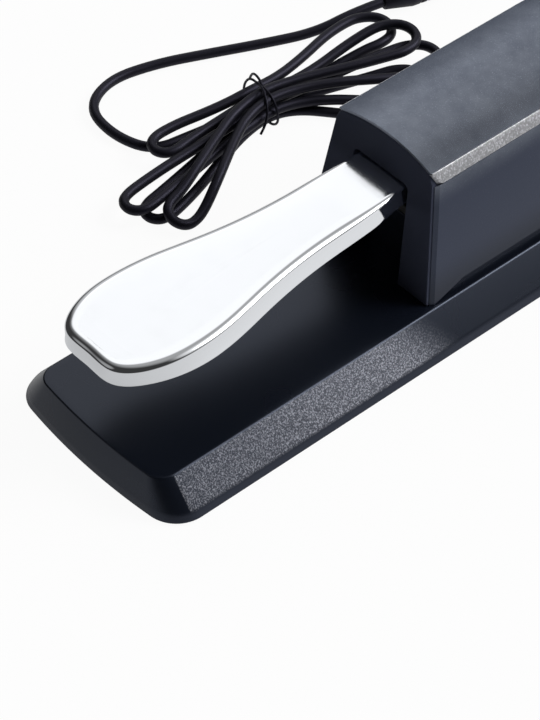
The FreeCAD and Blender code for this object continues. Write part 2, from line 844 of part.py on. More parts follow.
def pivot_axle():
    end = ear_x + bracket_sheet + axle_overhang
    shape = rod(axle_radius, V(-end, pivot_y, pivot_height), V(end, pivot_y, pivot_height))
    for side in (-1, 1):
        x = side * (ear_x + bracket_sheet + 0.2)
        a = V(x, pivot_y, pivot_height)
        b = V(x + side * (clip_thickness + 0.1), pivot_y, pivot_height)
        shape = shape.cut(rod(axle_radius + 1, a, b).cut(rod(axle_radius - axle_groove_depth, a, b)))
    return shape


def axle_clips():
    """The two spring clips in the axle's grooves, each open at its foot."""
    clips = []
    for side in (-1, 1):
        x = side * (ear_x + bracket_sheet + 0.25)
        a = V(x, pivot_y, pivot_height)
        b = V(x + side * clip_thickness, pivot_y, pivot_height)
        ring = rod(clip_radius, a, b).cut(rod(axle_radius - axle_groove_depth + running_gap, a, b))
        gap = block(min(a.x, b.x) - 1, max(a.x, b.x) + 1, pivot_y - clip_gap / 2, pivot_y + clip_gap / 2,
                    pivot_height - 2 * clip_radius, pivot_height)
        clips.append(ring.cut(gap))
    return group(clips)


def spring_low():
    return deck_height + spring_seat_plate


def spring_high():
    return lever_top - lever_sheet - spring_seat_plate


def spring_seat():
    plate = rod(spring_seat_radius, V(0, spring_y, deck_height), V(0, spring_y, spring_low()))
    return plate.fuse(spring_centring_post(spring_low(), Z_AXIS))


def spring_centring_post(start, direction):
    """The tapered post inside an end of the spring."""
    foot_radius = spring_radius - spring_wire - spring_post_gap
    tip_radius = foot_radius - spring_post_taper
    return Part.makeCone(foot_radius, tip_radius, spring_post, V(0, spring_y, start), direction)


def spring_guide():
    top = lever_top - lever_sheet
    plate = rod(spring_radius + spring_guide_rim, V(0, spring_y, spring_high()), V(0, spring_y, top))
    return plate.fuse(spring_centring_post(spring_high(), -Z_AXIS))


def return_spring():
    """A wire helix between its two seats, as biarcs of half a turn."""
    low = spring_low() + spring_wire / 2 + 0.05
    height = spring_high() - low - spring_wire / 2 - 0.05
    radius = spring_radius - spring_wire / 2
    count = int(2 * spring_turns)
    climb = height / (math.pi * count)
    nodes = []
    for i in range(count + 1):
        angle = math.pi * i
        place = V(radius * math.cos(angle), spring_y + radius * math.sin(angle), low + climb * angle)
        nodes.append((place, V(-radius * math.sin(angle), radius * math.cos(angle), climb).normalize()))
    wire = biarc_wire(nodes)
    ring = Part.Wire(Part.makeCircle(spring_wire / 2, nodes[0][0], nodes[0][1]))
    return wire.makePipeShell([ring], True, False)


def down_stop_rubber():
    top = down_stop_top()
    return block(-stop_half, stop_half, stop_y - stop_length / 2, stop_y + stop_length / 2,
                 top - stop_rubber, top)


def rest_stop_felt():
    shelf = felt_seat_top()
    return block(-neck_half, neck_half, felt_front_y, bracket_end_y, shelf, shelf + felt_thickness)


def switch_bracket_places():
    """Where the switch bracket's foot is screwed down."""
    x = -switch_bracket_x - switch_foot_length / 2 - bracket_sheet / 2
    return [(x, switch_y + side * switch_foot_pitch / 2) for side in (-1, 1)]


def switch_screw_places():
    """Where the switch is screwed to its bracket, as (y, z)."""
    z = switch_top - switch_height + small_screw_height
    return [(switch_y + side * small_screw_pitch / 2, z) for side in (-1, 1)]


def switch_bracket():
    x = -switch_bracket_x
    start = switch_y - switch_bracket_half
    end = switch_y + switch_bracket_half
    upright = block(x - bracket_sheet, x, start, end, bracket_low, switch_top - 2.0)
    foot = block(x - switch_foot_length, x, start, end, bracket_low, bracket_high)
    shape = upright.fuse(foot)
    for px, py in switch_bracket_places():
        shape = shape.cut(rod(screw_radius + running_gap, V(px, py, 0), V(px, py, FAR)))
    for y, z in switch_screw_places():
        shape = shape.cut(rod(small_screw_radius + running_gap, V(-FAR, y, z), V(0, y, z)))
    return shape


def switch_bracket_screws():
    length = bracket_sheet + deck_wall
    return group([screw(V(x, y, bracket_high), -Z_AXIS, length) for x, y in switch_bracket_places()])


def microswitch_body():
    low = switch_top - switch_height
    half = switch_width / 2
    shape = block(-half, half, switch_front_y, switch_front_y + switch_length, low, switch_top)
    for y, z in switch_screw_places():
        shape = shape.cut(rod(small_screw_radius + running_gap, V(-FAR, y, z), V(FAR, y, z)))
    py = leaf_pivot_y + plunger_offset
    shape = shape.cut(rod(plunger_radius + running_gap, V(0, py, switch_top - 4.0), V(0, py, switch_top + 5)))
    cheek = block(leaf_width / 2 + 0.1, leaf_width / 2 + 0.9, leaf_pivot_y - 1.5, leaf_pivot_y + 1.5,
                  switch_top - 1, leaf_high + 1.2)
    shape = shape.fuse(both_sides(cheek))
    for dy in (-terminal_pitch, 0.0, terminal_pitch):
        shape = shape.fuse(block(-0.3, 0.3, switch_y + dy - 1.6, switch_y + dy + 1.6,
                                 low - terminal_length, low + 0.5))
    z = leaf_low + leaf_thickness / 2
    pin = rod(leaf_pin_radius + running_gap, V(-FAR, leaf_pivot_y, z), V(FAR, leaf_pivot_y, z))
    return shape.cut(pin).removeSplitter()


def microswitch_screws():
    """Two small screws across the switch into its bracket."""
    screws = []
    for y, z in switch_screw_places():
        head_x = switch_width / 2
        head = rod(small_screw_head, V(head_x, y, z), V(head_x + small_screw_head / 2, y, z))
        shank = rod(small_screw_radius, V(-head_x - bracket_sheet, y, z), V(head_x, y, z))
        screws.append(head.fuse(shank))
    return group(screws)


def microswitch_plunger():
    py = leaf_pivot_y + plunger_offset
    return rod(plunger_radius, V(0, py, switch_top - 3.0), V(0, py, leaf_low - 0.15))


def microswitch_leaf():
    """The thin lever on the switch, with its pivot pin and a curled end."""
    end = leaf_pivot_y + pusher_offset + 2.0
    half = leaf_width / 2
    sheet = block(-half, half, leaf_pivot_y, end, leaf_low, leaf_high)
    curl_radius = leaf_thickness * 1.5
    curl_z = leaf_high - curl_radius
    curl = rod(curl_radius, V(-half, end, curl_z), V(half, end, curl_z))
    pin_half = half + 0.8
    z = leaf_low + leaf_thickness / 2
    pin = rod(leaf_pin_radius, V(-pin_half, leaf_pivot_y, z), V(pin_half, leaf_pivot_y, z))
    return sheet.fuse(curl).fuse(pin)


def switch_pusher():
    """The nylon foot under the lever's tail that bears on the switch's leaf."""
    y = leaf_pivot_y + pusher_offset
    half = pusher_size / 2
    low = leaf_high + pusher_gap
    top = lever_top - lever_sheet
    foot = block(-half, half, y - half, y + half, low, top)
    nose = [e for e in foot.Edges if abs(e.BoundBox.ZMax - low) < 0.01 and e.BoundBox.XLength > 1]
    foot = foot.makeFillet(pusher_nose_round, nose)
    flange = block(-pusher_flange_half, pusher_flange_half, y - half, y + half, top - pusher_flange, top)
    return foot.fuse(flange)


def polarity_switch_body():
    inner = housing_rear_y - housing_wall
    low = polarity_height - polarity_can_height / 2
    high = polarity_height + polarity_can_height / 2
    front = inner - polarity_sheet
    ears = block(polarity_x - polarity_ear_half, polarity_x + polarity_ear_half, front, inner, low, high)
    can = block(polarity_x - polarity_can_half, polarity_x + polarity_can_half,
                front - polarity_can_depth, front, low, high)
    shape = ears.fuse(can)
    reach = (polarity_travel + polarity_knob) / 2 + 0.2
    slot_half = polarity_knob / 2 + 0.1
    shape = shape.cut(block(polarity_x - reach, polarity_x + reach, inner - 3.5, inner + 1,
                            polarity_height - slot_half, polarity_height + slot_half))
    for side in (-1, 1):
        at = V(polarity_x + side * polarity_pitch / 2, inner - 8, polarity_height)
        shape = shape.cut(rod(screw_radius + running_gap, at, at + Y_AXIS * 16))
    return shape


def polarity_switch_knob():
    x = polarity_x - polarity_travel / 2
    half = polarity_knob / 2
    inner = housing_rear_y - housing_wall
    knob = block(x - half, x + half, inner - 3.0, housing_rear_y + 1.6, polarity_height - half,
                 polarity_height + half)
    for i in (-1, 0, 1):
        knob = knob.cut(block(x + i * 0.9 - 0.2, x + i * 0.9 + 0.2, housing_rear_y + 1.2, housing_rear_y + 3,
                              polarity_height - 5, polarity_height + 5))
    return knob


def polarity_switch_screws():
    length = housing_wall + polarity_sheet + 1.5
    places = [polarity_x + side * polarity_pitch / 2 for side in (-1, 1)]
    return group([screw(V(x, housing_rear_y, polarity_height), -Y_AXIS, length) for x in places])


def relief_tip_y():
    return housing_rear_y + relief_length


def cord_strain_relief():
    """The moulded boot: inner collar, neck in the wall, tapered and ribbed tail."""
    inner = housing_rear_y - housing_wall
    flange_radius = wall_hole_radius + relief_flange_rim
    seat = inner - running_gap
    collar = rod(flange_radius, along_exit(seat - relief_flange), along_exit(seat))
    neck = rod(wall_hole_radius - running_gap, along_exit(inner - 1.0), along_exit(housing_rear_y + 1.0))
    flange_end = along_exit(housing_rear_y + relief_flange)
    flange = rod(flange_radius, along_exit(housing_rear_y + running_gap), flange_end)
    tail_length = relief_length - relief_flange
    tail = Part.makeCone(relief_root_radius, relief_tip_radius, tail_length, flange_end, Y_AXIS)
    shape = collar.multiFuse([neck, flange, tail])
    for i in range(relief_groove_count):
        start = along_exit(housing_rear_y + relief_flange + 3.0 + i * relief_groove_pitch)
        end = start + Y_AXIS * relief_groove
        ring = rod(2 * relief_root_radius, start, end)
        shape = shape.cut(ring.cut(rod((relief_tip_radius + cord_radius) / 2, start, end)))
    bore = rod(cord_radius, along_exit(inner - 5), along_exit(inner + 0.5))
    return shape.cut(bore)


def along_exit(y):
    """A point on the line along which the lead leaves the housing."""
    return V(0, y, exit_height)


def clamp_screw_place():
    return (clamp_screw_x, housing_rear_y - clamp_from_rear)


def cord_clamp():
    """The saddle that grips the lead inside, on its own foot on the deck."""
    y = clamp_screw_place()[1]
    x = clamp_screw_place()[0]
    stem_half = cord_radius + clamp_wall + 0.4
    foot = block(-stem_half - 1.0, x + screw_head_radius + 1.2, y - clamp_half, y + clamp_half, deck_height,
                 deck_height + clamp_foot)
    stem = block(-stem_half, stem_half, y - clamp_half, y + clamp_half, deck_height,
                 exit_height + cord_radius + clamp_wall)
    bore = rod(cord_radius + running_gap, along_exit(y - 9), along_exit(y + 9))
    split = block(-0.6, 0.6, y - 9, y + 9, exit_height, exit_height + 9)
    shape = foot.fuse(stem).cut(bore).cut(split)
    return shape.cut(rod(screw_radius + running_gap, V(x, y, 0), V(x, y, deck_height + 2 * clamp_foot)))


def clamp_screws():
    x, y = clamp_screw_place()
    return screw(V(x, y, deck_height + clamp_foot), -Z_AXIS, clamp_foot + deck_wall)


def inner_cord_end():
    return clamp_screw_place()[1] - clamp_half - 1.5


def inner_cord():
    """The lead inside the housing, from the strain relief through the clamp to where its cores part."""
    return rod(cord_radius, along_exit(inner_cord_end()), along_exit(housing_rear_y - housing_wall))


def rounded_path(points, name):
    """Straight runs joined by tangent arcs, each arc as large as its two runs allow."""
    edges = []
    here = points[0]
    radii = []
    for a, b, c in zip(points, points[1:], points[2:]):
        before = (b - a).normalize()
        after = (c - b).normalize()
        half_turn = before.getAngle(after) / 2
        reach = 0.45 * min((b - a).Length, (c - b).Length)
        radius = reach / math.tan(half_turn)
        radii.append(round(radius, 1))
        start = b - before * reach
        end = b + after * reach
        inward = (after - before).normalize()
        middle = b + inward * (radius / math.cos(half_turn) - radius)
        edges.append(Part.LineSegment(here, start).toShape())
        edges.append(Part.Arc(start, middle, end).toShape())
        here = end
    edges.append(Part.LineSegment(here, points[-1]).toShape())
    wire = Part.Wire(edges)
    print(name, "length", round(wire.Length, 1), "radii", radii)
    return wire


def tube(wire, radius, name):
    """A round tube along a path."""
    start = wire.OrderedVertexes[0].Point
    edge = wire.OrderedEdges[0]
    heading = edge.tangentAt(edge.FirstParameter)
    if (edge.valueAt(edge.FirstParameter) - start).Length > 0.01:
        heading = edge.tangentAt(edge.LastParameter) * -1
    ring = Part.Wire(Part.makeCircle(radius, start, heading))
    shape = wire.makePipeShell([ring], True, False)
    plain = math.pi * radius ** 2 * wire.Length
    print(name, "volume over section times length", round(shape.Volume / plain, 4))
    return shape


def lead_points():
    """The lead from the strain relief down to the floor behind the pedal and back to the hank."""
    low = layer(0)
    hank_start, heading = hank_end(first=True)
    return [V(0, relief_tip_y(), exit_height), V(0, relief_tip_y() + 18, exit_height),
            V(-4, relief_tip_y() + 40, 13.0), V(-24, relief_tip_y() + 52, low),
            V(-48, relief_tip_y() + 43, low), V(-60, relief_tip_y() + 20, low),
            hank_start - heading * 20.0, hank_start]


def tail_points():
    """The loose loop outside the hank, and the run on to the plug."""
    low = layer(0)
    start, heading = hank_end(first=False)
    along = V(math.cos(math.radians(plug_heading)), math.sin(math.radians(plug_heading)), 0)
    end = V(plug_x, plug_y, plug_grip_radius)
    return [start, start + heading * 16.0, V(-125.5, -11.0, low), V(-144.5, -8.5, low), V(-152.5, 8.0, low),
            V(-148.0, 28.0, low), V(-139.5, 47.0, low), V(-129.0, 68.0, low),
            end - along * 31.0 + V(0, 0, low - end.z), end - along * 13.0, end]


def smooth(x):
    """A ramp from 0 to 1 with level ends."""
    x = min(max(x, 0.0), 1.0)
    return x * x * (3 - 2 * x)


def hank_place(s, t, z):
    """A point of the hank: s along its bent middle line from the tie, t across it towards the pedal."""
    steps = 40
    x = tie_x
    y = tie_y
    for i in range(steps):
        mid = s * (i + 0.5) / steps
        heading = hank_heading(mid)
        x += math.cos(heading) * s / steps
        y += math.sin(heading) * s / steps
    heading = hank_heading(s)
    lift = tie_lift * math.exp(-(s / 12.0) ** 2)
    return V(x + t * math.sin(heading), y - t * math.cos(heading), z + lift)


def hank_heading(s):
    share = smooth((s + bend_half) / (2 * bend_half))
    return math.radians(heading_left + (heading_right - heading_left) * share)


def layer(n):
    """Height of the middle of the lead in a layer of the hank, the lowest just clear of the floor."""
    return cord_radius + floor_gap + layer_step * n


# The hank's strands in the order in which the lead runs through them. Each has its place across the
# tie, in strands, its layer at the tie, and at its far end its reach, offset and layer.
def hank_half_loops():
    """Left loops and right turns in running order, each an out strand, a fold and a back strand."""
    w = fold_half
    r = turn_half
    return {
        "in": dict(tie=0.45, level=0, reach=57.0, offset=28.0, end_level=0),
        "left": [dict(ties=(0.45, -0.55), levels=(0, 0), reach=70.5, centre=3.0, half=w, ends=(0.0, 0.0)),
                 dict(ties=(1.0, 0.0), levels=(1, 1), reach=75.5, centre=-4.4, half=w, ends=(1.0, 1.0)),
                 dict(ties=(0.6, -0.45), levels=(2, 2), reach=69.4, centre=14.8, half=w, ends=(0.15, 1.05),
                      climb=0.62),
                 dict(ties=(-1.0, -2.0), levels=(1, 1), reach=49.5, centre=-22.6, half=w, ends=(1.0, 1.0))],
        "right": [dict(ties=(-0.55, 1.0), levels=(0, 1), reach=66.0, centre=8.0, half=r, first=-1, end=0),
                  dict(ties=(0.0, 0.6), levels=(1, 2), reach=75.0, centre=2.0, half=r, first=-1, end=1),
                  dict(ties=(-0.45, -1.0), levels=(2, 1), reach=70.0, centre=-8.0, half=r, first=1, end=2),
                  dict(ties=(-2.0, -1.5), levels=(1, 0), reach=66.0, centre=-21.2, half=r, first=-1, end=1)],
    }


def strand(tie, level, far, offset, far_level, side, outward, climb_start=0.35):
    """Points of one strand between the tie and the start of a fold. side is -1 left, 1 right.

    climb_start is the share of the way from the tie to the fold where it begins to change layer.
    """
    points = []
    for share in (0.0, 0.22, 0.45, 0.7, 0.9):
        s = side * far * share
        ease = smooth((share - 0.06) / 0.9)
        climb = smooth((share - climb_start) / min(0.6, 1.0 - climb_start))
        t = tie * strand_step + (offset - tie * strand_step) * ease
        z = layer(level) + (layer(far_level) - layer(level)) * climb
        points.append((s, t, z, share in (0.0, 0.45)))
    return points if outward else list(reversed(points))


def fold(centre, half, reach, z_first, z_last, side, first_sign):
    """Points round the end of a loop, from one strand to the next."""
    points = []
    for i, angle in enumerate((0.0, 45.0, 90.0, 135.0, 180.0)):
        a = math.radians(angle)
        s = side * (reach - half + half * math.sin(a))
        t = centre + first_sign * half * math.cos(a)
        z = z_first + (z_last - z_first) * smooth(angle / 180.0)
        points.append((s, t, z, i % 2 == 0))
    return points


def hank_path():
    """All the hank's points in running order: s, t, height, and whether arcs meet there."""
    loops = hank_half_loops()
    start = loops["in"]
    path = strand(start["tie"], start["level"], start["reach"], start["offset"], start["end_level"], 1, False)
    path = [(start["reach"], start["offset"], layer(0), True)] + path
    for left, right in zip(loops["left"], loops["right"]):
        reach = left["reach"] - left["half"]
        sign = 1 if left["ties"][0] > left["ties"][1] else -1
        lo = left["centre"] + sign * left["half"]
        hi = left["centre"] - sign * left["half"]
        path += strand(left["ties"][0], left["levels"][0], reach, lo, left["ends"][0], -1, True,
                       left.get("climb", 0.35))[1:]
        path += fold(left["centre"], left["half"], left["reach"], layer(left["ends"][0]),
                     layer(left["ends"][1]), -1, sign)
        path += strand(left["ties"][1], left["levels"][1], reach, hi, left["ends"][1], -1, False,
                       left.get("climb", 0.35))
        reach = right["reach"] - right["half"]
        sign = right["first"]
        lo = right["centre"] + sign * right["half"]
        hi = right["centre"] - sign * right["half"]
        path += strand(right["ties"][0], right["levels"][0], reach, lo, right["end"], 1, True)[1:]
        path += fold(right["centre"], right["half"], right["reach"], layer(right["end"]),
                     layer(right["end"]), 1, sign)
        path += strand(right["ties"][1], right["levels"][1], reach, hi, right["end"], 1, False, 0.42)
    last_tie = loops["right"][-1]["ties"][1] * strand_step
    return path + [(-9.0, last_tie - 0.4, layer(0), True), (-18.0, last_tie - 2.2, layer(0), True),
                   (-27.0, last_tie - 5.4, layer(0), True)]


def hank_points():
    """The points of the hank's path as places on the floor."""
    return [hank_place(s, t, z) for s, t, z, _ in hank_path()]


def hank_curve():
    """A smooth curve through all the hank's points."""
    curve = Part.BSplineCurve()
    curve.interpolate(hank_points())
    return curve


def hank_end(first):
    """An end of the hank and the way the lead runs there."""
    curve = hank_curve()
    u = curve.FirstParameter if first else curve.LastParameter
    return curve.value(u), V(*curve.tangent(u)[0]).normalize()


def biarc(p0, t0, p1, t1):
    """Two tangent arcs between two points with given headings."""
    v = p1 - p0
    t = t0 + t1
    denominator = 2 * (1 - t0.dot(t1))
    if denominator < 1e-9:
        return [Part.LineSegment(p0, p1).toShape()]
    disc = v.dot(t) ** 2 + denominator * v.dot(v)
    d = (-v.dot(t) + math.sqrt(disc)) / denominator
    middle = (p0 + p1 + (t0 - t1) * d) * 0.5
    return [arc_from(p0, t0, middle), arc_from(p1, t1 * -1, middle)]


def arc_from(p, heading, q):
    """An arc that leaves p along a heading and ends at q."""
    chord = q - p
    across = chord - heading * chord.dot(heading)
    if across.Length < 1e-6 * chord.Length:
        return Part.LineSegment(p, q).toShape()
    across.normalize()
    half = heading.getAngle(chord) / 2
    along = heading * math.cos(half) + across * math.sin(half)
    middle = p + along * (chord.Length / (2 * math.cos(half)))
    return Part.Arc(p, middle, q).toShape()


def hank_wire():
    """The hank's path as biarcs between the places where arcs meet."""
    curve = hank_curve()
    nodes = []
    for place, (_, _, _, meeting) in zip(hank_points(), hank_path()):
        if meeting:
            u = curve.parameter(place)
            nodes.append((curve.value(u), V(*curve.tangent(u)[0]).normalize()))
    return biarc_wire(nodes)


def biarc_wire(nodes):
    """A path of biarcs through nodes, each a place and a heading."""
    edges = []
    for (p0, t0), (p1, t1) in zip(nodes, nodes[1:]):
        edges += biarc(p0, t0, p1, t1)
    return Part.Wire(edges)


def least_self_gap(wire, radius):
    """The smallest clear gap between stretches of a tube that aren't next to each other."""
    spacing = 1.5
    count = int(wire.Length / spacing)
    points = wire.discretize(count)
    near = int(5.0 * radius / spacing)
    least = FAR
    where = None
    for i in range(count):
        for j in range(i + near, count):
            gap = points[i].distanceToPoint(points[j])
            if gap < least:
                least = gap
                where = (i, j, points[i])
    print("cord_hank least self gap", round(least - 2 * radius, 2), "at", where[0], where[1],
          [round(c, 1) for c in where[2]])
    return least - 2 * radius


def tightest_radius(wire):
    radii = [e.Curve.Radius for e in wire.Edges if hasattr(e.Curve, "Radius")]
    return min(radii)


def cord_hank():
    wire = hank_wire()
    print("cord_hank length", round(wire.Length, 1), "tightest radius", round(tightest_radius(wire), 2))
    least_self_gap(wire, cord_radius)
    return tube(wire, cord_radius, "cord_hank")


def cord_lead():
    return tube(rounded_path(lead_points(), "cord_lead"), cord_radius, "cord_lead")


def cord_tail():
    return tube(rounded_path(tail_points(), "cord_tail"), cord_radius, "cord_tail")


def wire_tie():
    """A closed wire band round the strands at the tie, with its two ends twisted up."""
    wire_radius = tie_wire_radius
    middle = hank_place(0.0, -0.5 * strand_step, 0.0)
    heading = hank_heading(0.0)
    along = V(math.cos(heading), math.sin(heading), 0)
    across = V(math.sin(heading), -math.cos(heading), 0)
    half = 1.5 * strand_step + cord_radius + 1.2
    low = wire_radius + floor_gap
    high = layer(2) + tie_lift + cord_radius + wire_radius + 0.35
    round_radius = 4.0
    ring = rounded_ring(V(middle.x, middle.y, 0), across, half, low, high, round_radius, wire_radius)
    ears = []
    for side in (-1, 1):
        foot = V(middle.x, middle.y, high) + across * (2.0 * side)
        top = foot + across * (3.5 * side) + V(0, 0, 6.0) + along * (3.0 * side)
        ears.append(Part.makeCylinder(wire_radius, (top - foot).Length, foot, top - foot))
    return ring.multiFuse(ears)


def rounded_ring(origin, across, half, low, high, r, wire_radius):
    """A closed round wire on a rounded rectangle that stands across the hank."""
    up = Z_AXIS
    s = r * (1 - math.sqrt(0.5))

    def at(t, z):
        return origin + across * t + up * z

    corners = [(half, low, -1, 1), (half, high, -1, -1), (-half, high, 1, -1), (-half, low, 1, 1)]
    edges = []
    starts = []
    for n, (t, z, dt, dz) in enumerate(corners):
        a = at(t + dt * r, z) if n % 2 == 0 else at(t, z + dz * r)
        b = at(t, z + dz * r) if n % 2 == 0 else at(t + dt * r, z)
        starts.append((a, at(t + dt * s, z + dz * s), b))
    for n, (a, m, b) in enumerate(starts):
        edges.append(Part.Arc(a, m, b).toShape())
        edges.append(Part.LineSegment(b, starts[(n + 1) % 4][0]).toShape())
    path = Part.Wire(edges)
    start = starts[0][0]
    ring = Part.Wire(Part.makeCircle(wire_radius, start, across))
    return path.makePipeShell([ring], True, False)


def plug_frame():
    heading = math.radians(plug_heading)
    return V(plug_x, plug_y, plug_grip_radius), V(math.cos(heading), math.sin(heading), 0)


def plug_section(start, length, radius, end_radius=None):
    """One round piece of the plug, along its axis from where the lead enters."""
    origin, along = plug_frame()
    if end_radius is None:
        return Part.makeCylinder(radius, length, origin + along * start, along)
    return Part.makeCone(radius, end_radius, length, origin + along * start, along)


def plug_grip():
    shape = plug_section(0.0, plug_grip_taper, cord_radius + 1.0, plug_grip_radius)
    shape = shape.fuse(plug_section(plug_grip_taper, plug_grip_length - plug_grip_taper, plug_grip_radius))
    for i in range(plug_groove_count):
        start = plug_grip_taper + 3.0 + i * plug_groove_pitch
        ring = plug_section(start, plug_groove, plug_grip_radius + 1.0)
        shape = shape.cut(ring.cut(plug_section(start, plug_groove, plug_grip_radius - 0.5)))
    socket_start = plug_grip_length - plug_spigot - 0.1
    return shape.cut(plug_section(socket_start, plug_spigot + 1.0, plug_spigot_radius + running_gap))


def plug_sleeve():
    shape = plug_section(plug_grip_length, plug_sleeve_length, plug_sleeve_radius)
    collar = plug_section(plug_grip_length, plug_collar, plug_collar_radius)
    spigot = plug_section(plug_grip_length - plug_spigot, plug_spigot + 0.1, plug_spigot_radius)
    return shape.fuse(collar).fuse(spigot)


def plug_insulator():
    return plug_section(plug_grip_length + plug_sleeve_length, plug_ring_length,
                        plug_sleeve_radius - plug_insulator_inset)


def plug_tip():
    start = plug_grip_length + plug_sleeve_length + plug_ring_length
    waist = plug_sleeve_radius * 0.6
    full = plug_sleeve_radius - 0.15
    neck_length = plug_tip_length * 0.3
    bulb_length = plug_tip_length * 0.27
    neck = plug_section(start, neck_length, full, waist)
    bulb = plug_section(start + neck_length, bulb_length, waist, full)
    nose_start = neck_length + bulb_length
    nose = plug_section(start + nose_start, plug_tip_length - nose_start, full, 1.0)
    return neck.fuse(bulb).fuse(nose)


def switch_leads():
    """The end of the lead inside the housing, and its two cores up to the switch's terminals."""
    y = inner_cord_end()
    low = switch_top - switch_height - terminal_length
    parts = [inner_cord()]
    for side, dy in ((-1, 0.0), (1, -terminal_pitch)):
        start = V(side * 1.0, y, exit_height)
        end = V(side * (core_radius + 0.3), switch_y + dy, low + 1.6)
        path = [start, start - Y_AXIS * 3.5 - Z_AXIS * 0.6, V(end.x, end.y + 2.5, low - 2.6),
                V(end.x, end.y, low - 2.2), end]
        wire = rounded_path(path, "core")
        ring = Part.Wire(Part.makeCircle(core_radius, start, -Y_AXIS))
        parts.append(wire.makePipeShell([ring], True, False))
    return group(parts)


NODES = {
    "base_case": base_case,
    "bottom_plate": bottom_plate,
    "rubber_sole": rubber_sole,
    "base_screws": base_screws,
    "housing_cover": housing_cover,
    "cover_screws": cover_screws,
    "front_bezel": front_bezel,
    "trim_strip_right": trim_strip,
    "trim_strip_left": lambda: mirrored(trim_strip()),
    "pivot_bracket": pivot_bracket,
    "bracket_screws": bracket_screws,
    "pivot_axle": pivot_axle,
    "axle_clips": axle_clips,
    "pedal_lever": pedal_lever,
    "lever_bushes": lever_bushes,
    "spring_seat": spring_seat,
    "spring_guide": spring_guide,
    "return_spring": return_spring,
    "down_stop_rubber": down_stop_rubber,
    "rest_stop_felt": rest_stop_felt,
    "switch_bracket": switch_bracket,
    "switch_bracket_screws": switch_bracket_screws,
    "microswitch_body": microswitch_body,
    "microswitch_screws": microswitch_screws,
    "microswitch_plunger": microswitch_plunger,
    "microswitch_leaf": microswitch_leaf,
    "switch_pusher": switch_pusher,
    "switch_leads": switch_leads,
    "polarity_switch_body": polarity_switch_body,
    "polarity_switch_knob": polarity_switch_knob,
    "polarity_switch_screws": polarity_switch_screws,
    "cord_clamp": cord_clamp,
    "clamp_screws": clamp_screws,
    "cord_strain_relief": cord_strain_relief,
    "cord_lead": cord_lead,
    "cord_hank": cord_hank,
    "cord_tail": cord_tail,
    "wire_tie": wire_tie,
    "plug_grip": plug_grip,
    "plug_sleeve": plug_sleeve,
    "plug_insulator": plug_insulator,
    "plug_tip": plug_tip,
}


def main():
    os.makedirs("parts", exist_ok=True)
    for name, make in NODES.items():
        shape = make()
        box = shape.BoundBox
        print(name, "solids", len(shape.Solids), "valid", shape.isValid(), "volume", round(shape.Volume, 1),
              "x", round(box.XMin, 1), round(box.XMax, 1), "y", round(box.YMin, 1), round(box.YMax, 1),
              "z", round(box.ZMin, 1), round(box.ZMax, 1))
        shape.exportStep(os.path.join("parts", name + ".step"))


main()
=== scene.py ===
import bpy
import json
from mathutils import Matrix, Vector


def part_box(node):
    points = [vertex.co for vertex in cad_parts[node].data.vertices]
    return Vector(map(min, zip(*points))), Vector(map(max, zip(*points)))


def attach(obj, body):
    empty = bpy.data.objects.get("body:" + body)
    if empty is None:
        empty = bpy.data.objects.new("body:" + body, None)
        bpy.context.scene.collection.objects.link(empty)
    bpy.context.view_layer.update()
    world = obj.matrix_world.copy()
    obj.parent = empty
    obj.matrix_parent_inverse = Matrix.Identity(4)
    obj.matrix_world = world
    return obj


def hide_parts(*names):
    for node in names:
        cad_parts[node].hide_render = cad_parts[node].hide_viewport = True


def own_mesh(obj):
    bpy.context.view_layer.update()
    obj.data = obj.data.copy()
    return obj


bl_info = {
    "name": "Keyboard pedal",
    "version": (1, 0, 0),
    "blender": (4, 5, 0),
    "location": "View3D > Sidebar > Pedal",
    "description": "Dresses the packed pedal with its moulded, plated and wound pieces",
    "category": "Object",
}

import json
import math

import bmesh
import bpy
import numpy as np

from mathutils import Matrix

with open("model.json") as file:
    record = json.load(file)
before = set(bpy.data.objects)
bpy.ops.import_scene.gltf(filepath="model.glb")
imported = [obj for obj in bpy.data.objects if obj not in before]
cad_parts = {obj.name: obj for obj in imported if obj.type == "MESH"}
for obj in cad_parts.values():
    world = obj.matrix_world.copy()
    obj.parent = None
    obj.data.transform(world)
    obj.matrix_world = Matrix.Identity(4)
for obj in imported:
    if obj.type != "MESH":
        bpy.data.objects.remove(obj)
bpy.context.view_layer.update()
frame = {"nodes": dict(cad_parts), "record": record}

# Places and sizes here are in millimetres, and MM turns them into the frame's metres
MM = 0.001
TOE_Y = -121.5
HEEL_Y = 121.5
BASE_HALF = 44.0
DECK = 15.4
BOW_RADIUS = 265.0
HOUSING_FRONT = 7.7
HOUSING_REAR = 112.0
FRONT_LEAN = 0.123
DRAFT = 0.13
CHAMFER_LOW = (25.7, 64.3)
CHAMFER_HIGH = (23.1, 69.0)
STRIP_REAR = 104.0
STRIP_HALVES = (2.45, 2.25)
UPSTAND_START = 13.4
UPSTAND_FOOT = DECK - 0.5
UPSTAND_TOP = 20.1
UPSTAND_INSET = 2.4
UPSTAND_WALL = 0.8
UPSTAND_CORNER = 1.0
PIVOT = (58.0, 47.6)
EAR_PLATE = (10.4, 12.2)
EAR_REACH = 8.0
EAR_RISE = 4.4
EAR_HOLE = 4.55
EAR_POINTS = 64
LEVER_TOPS = (56.6, 55.95, 55.75)
LEVER_FEET = (50.0, 47.6, 47.2)
LEVER_LEAN = 1.7
LEVER_TIP = -117.8
LEVER_TAIL = 101.0
NECK_RISE = 0.85
NECK_HALF = 12.2
NECK_FRONT = 14.0
PADDLE_HALF = 24.0
EXIT_Z = 30.0
RELIEF_TIP = 138.0
INNER_END = 99.5
LEAD_RADIUS = 2.0
LEAD_LIFT = 0.18
FLOOR_LAYER = 2.1
PLUG_END = np.array([-113.0, 120.0, 5.4])
PLUG_HEADING = math.radians(78.0)
PLUG_ALONG = np.array([math.cos(PLUG_HEADING), math.sin(PLUG_HEADING), 0.0])
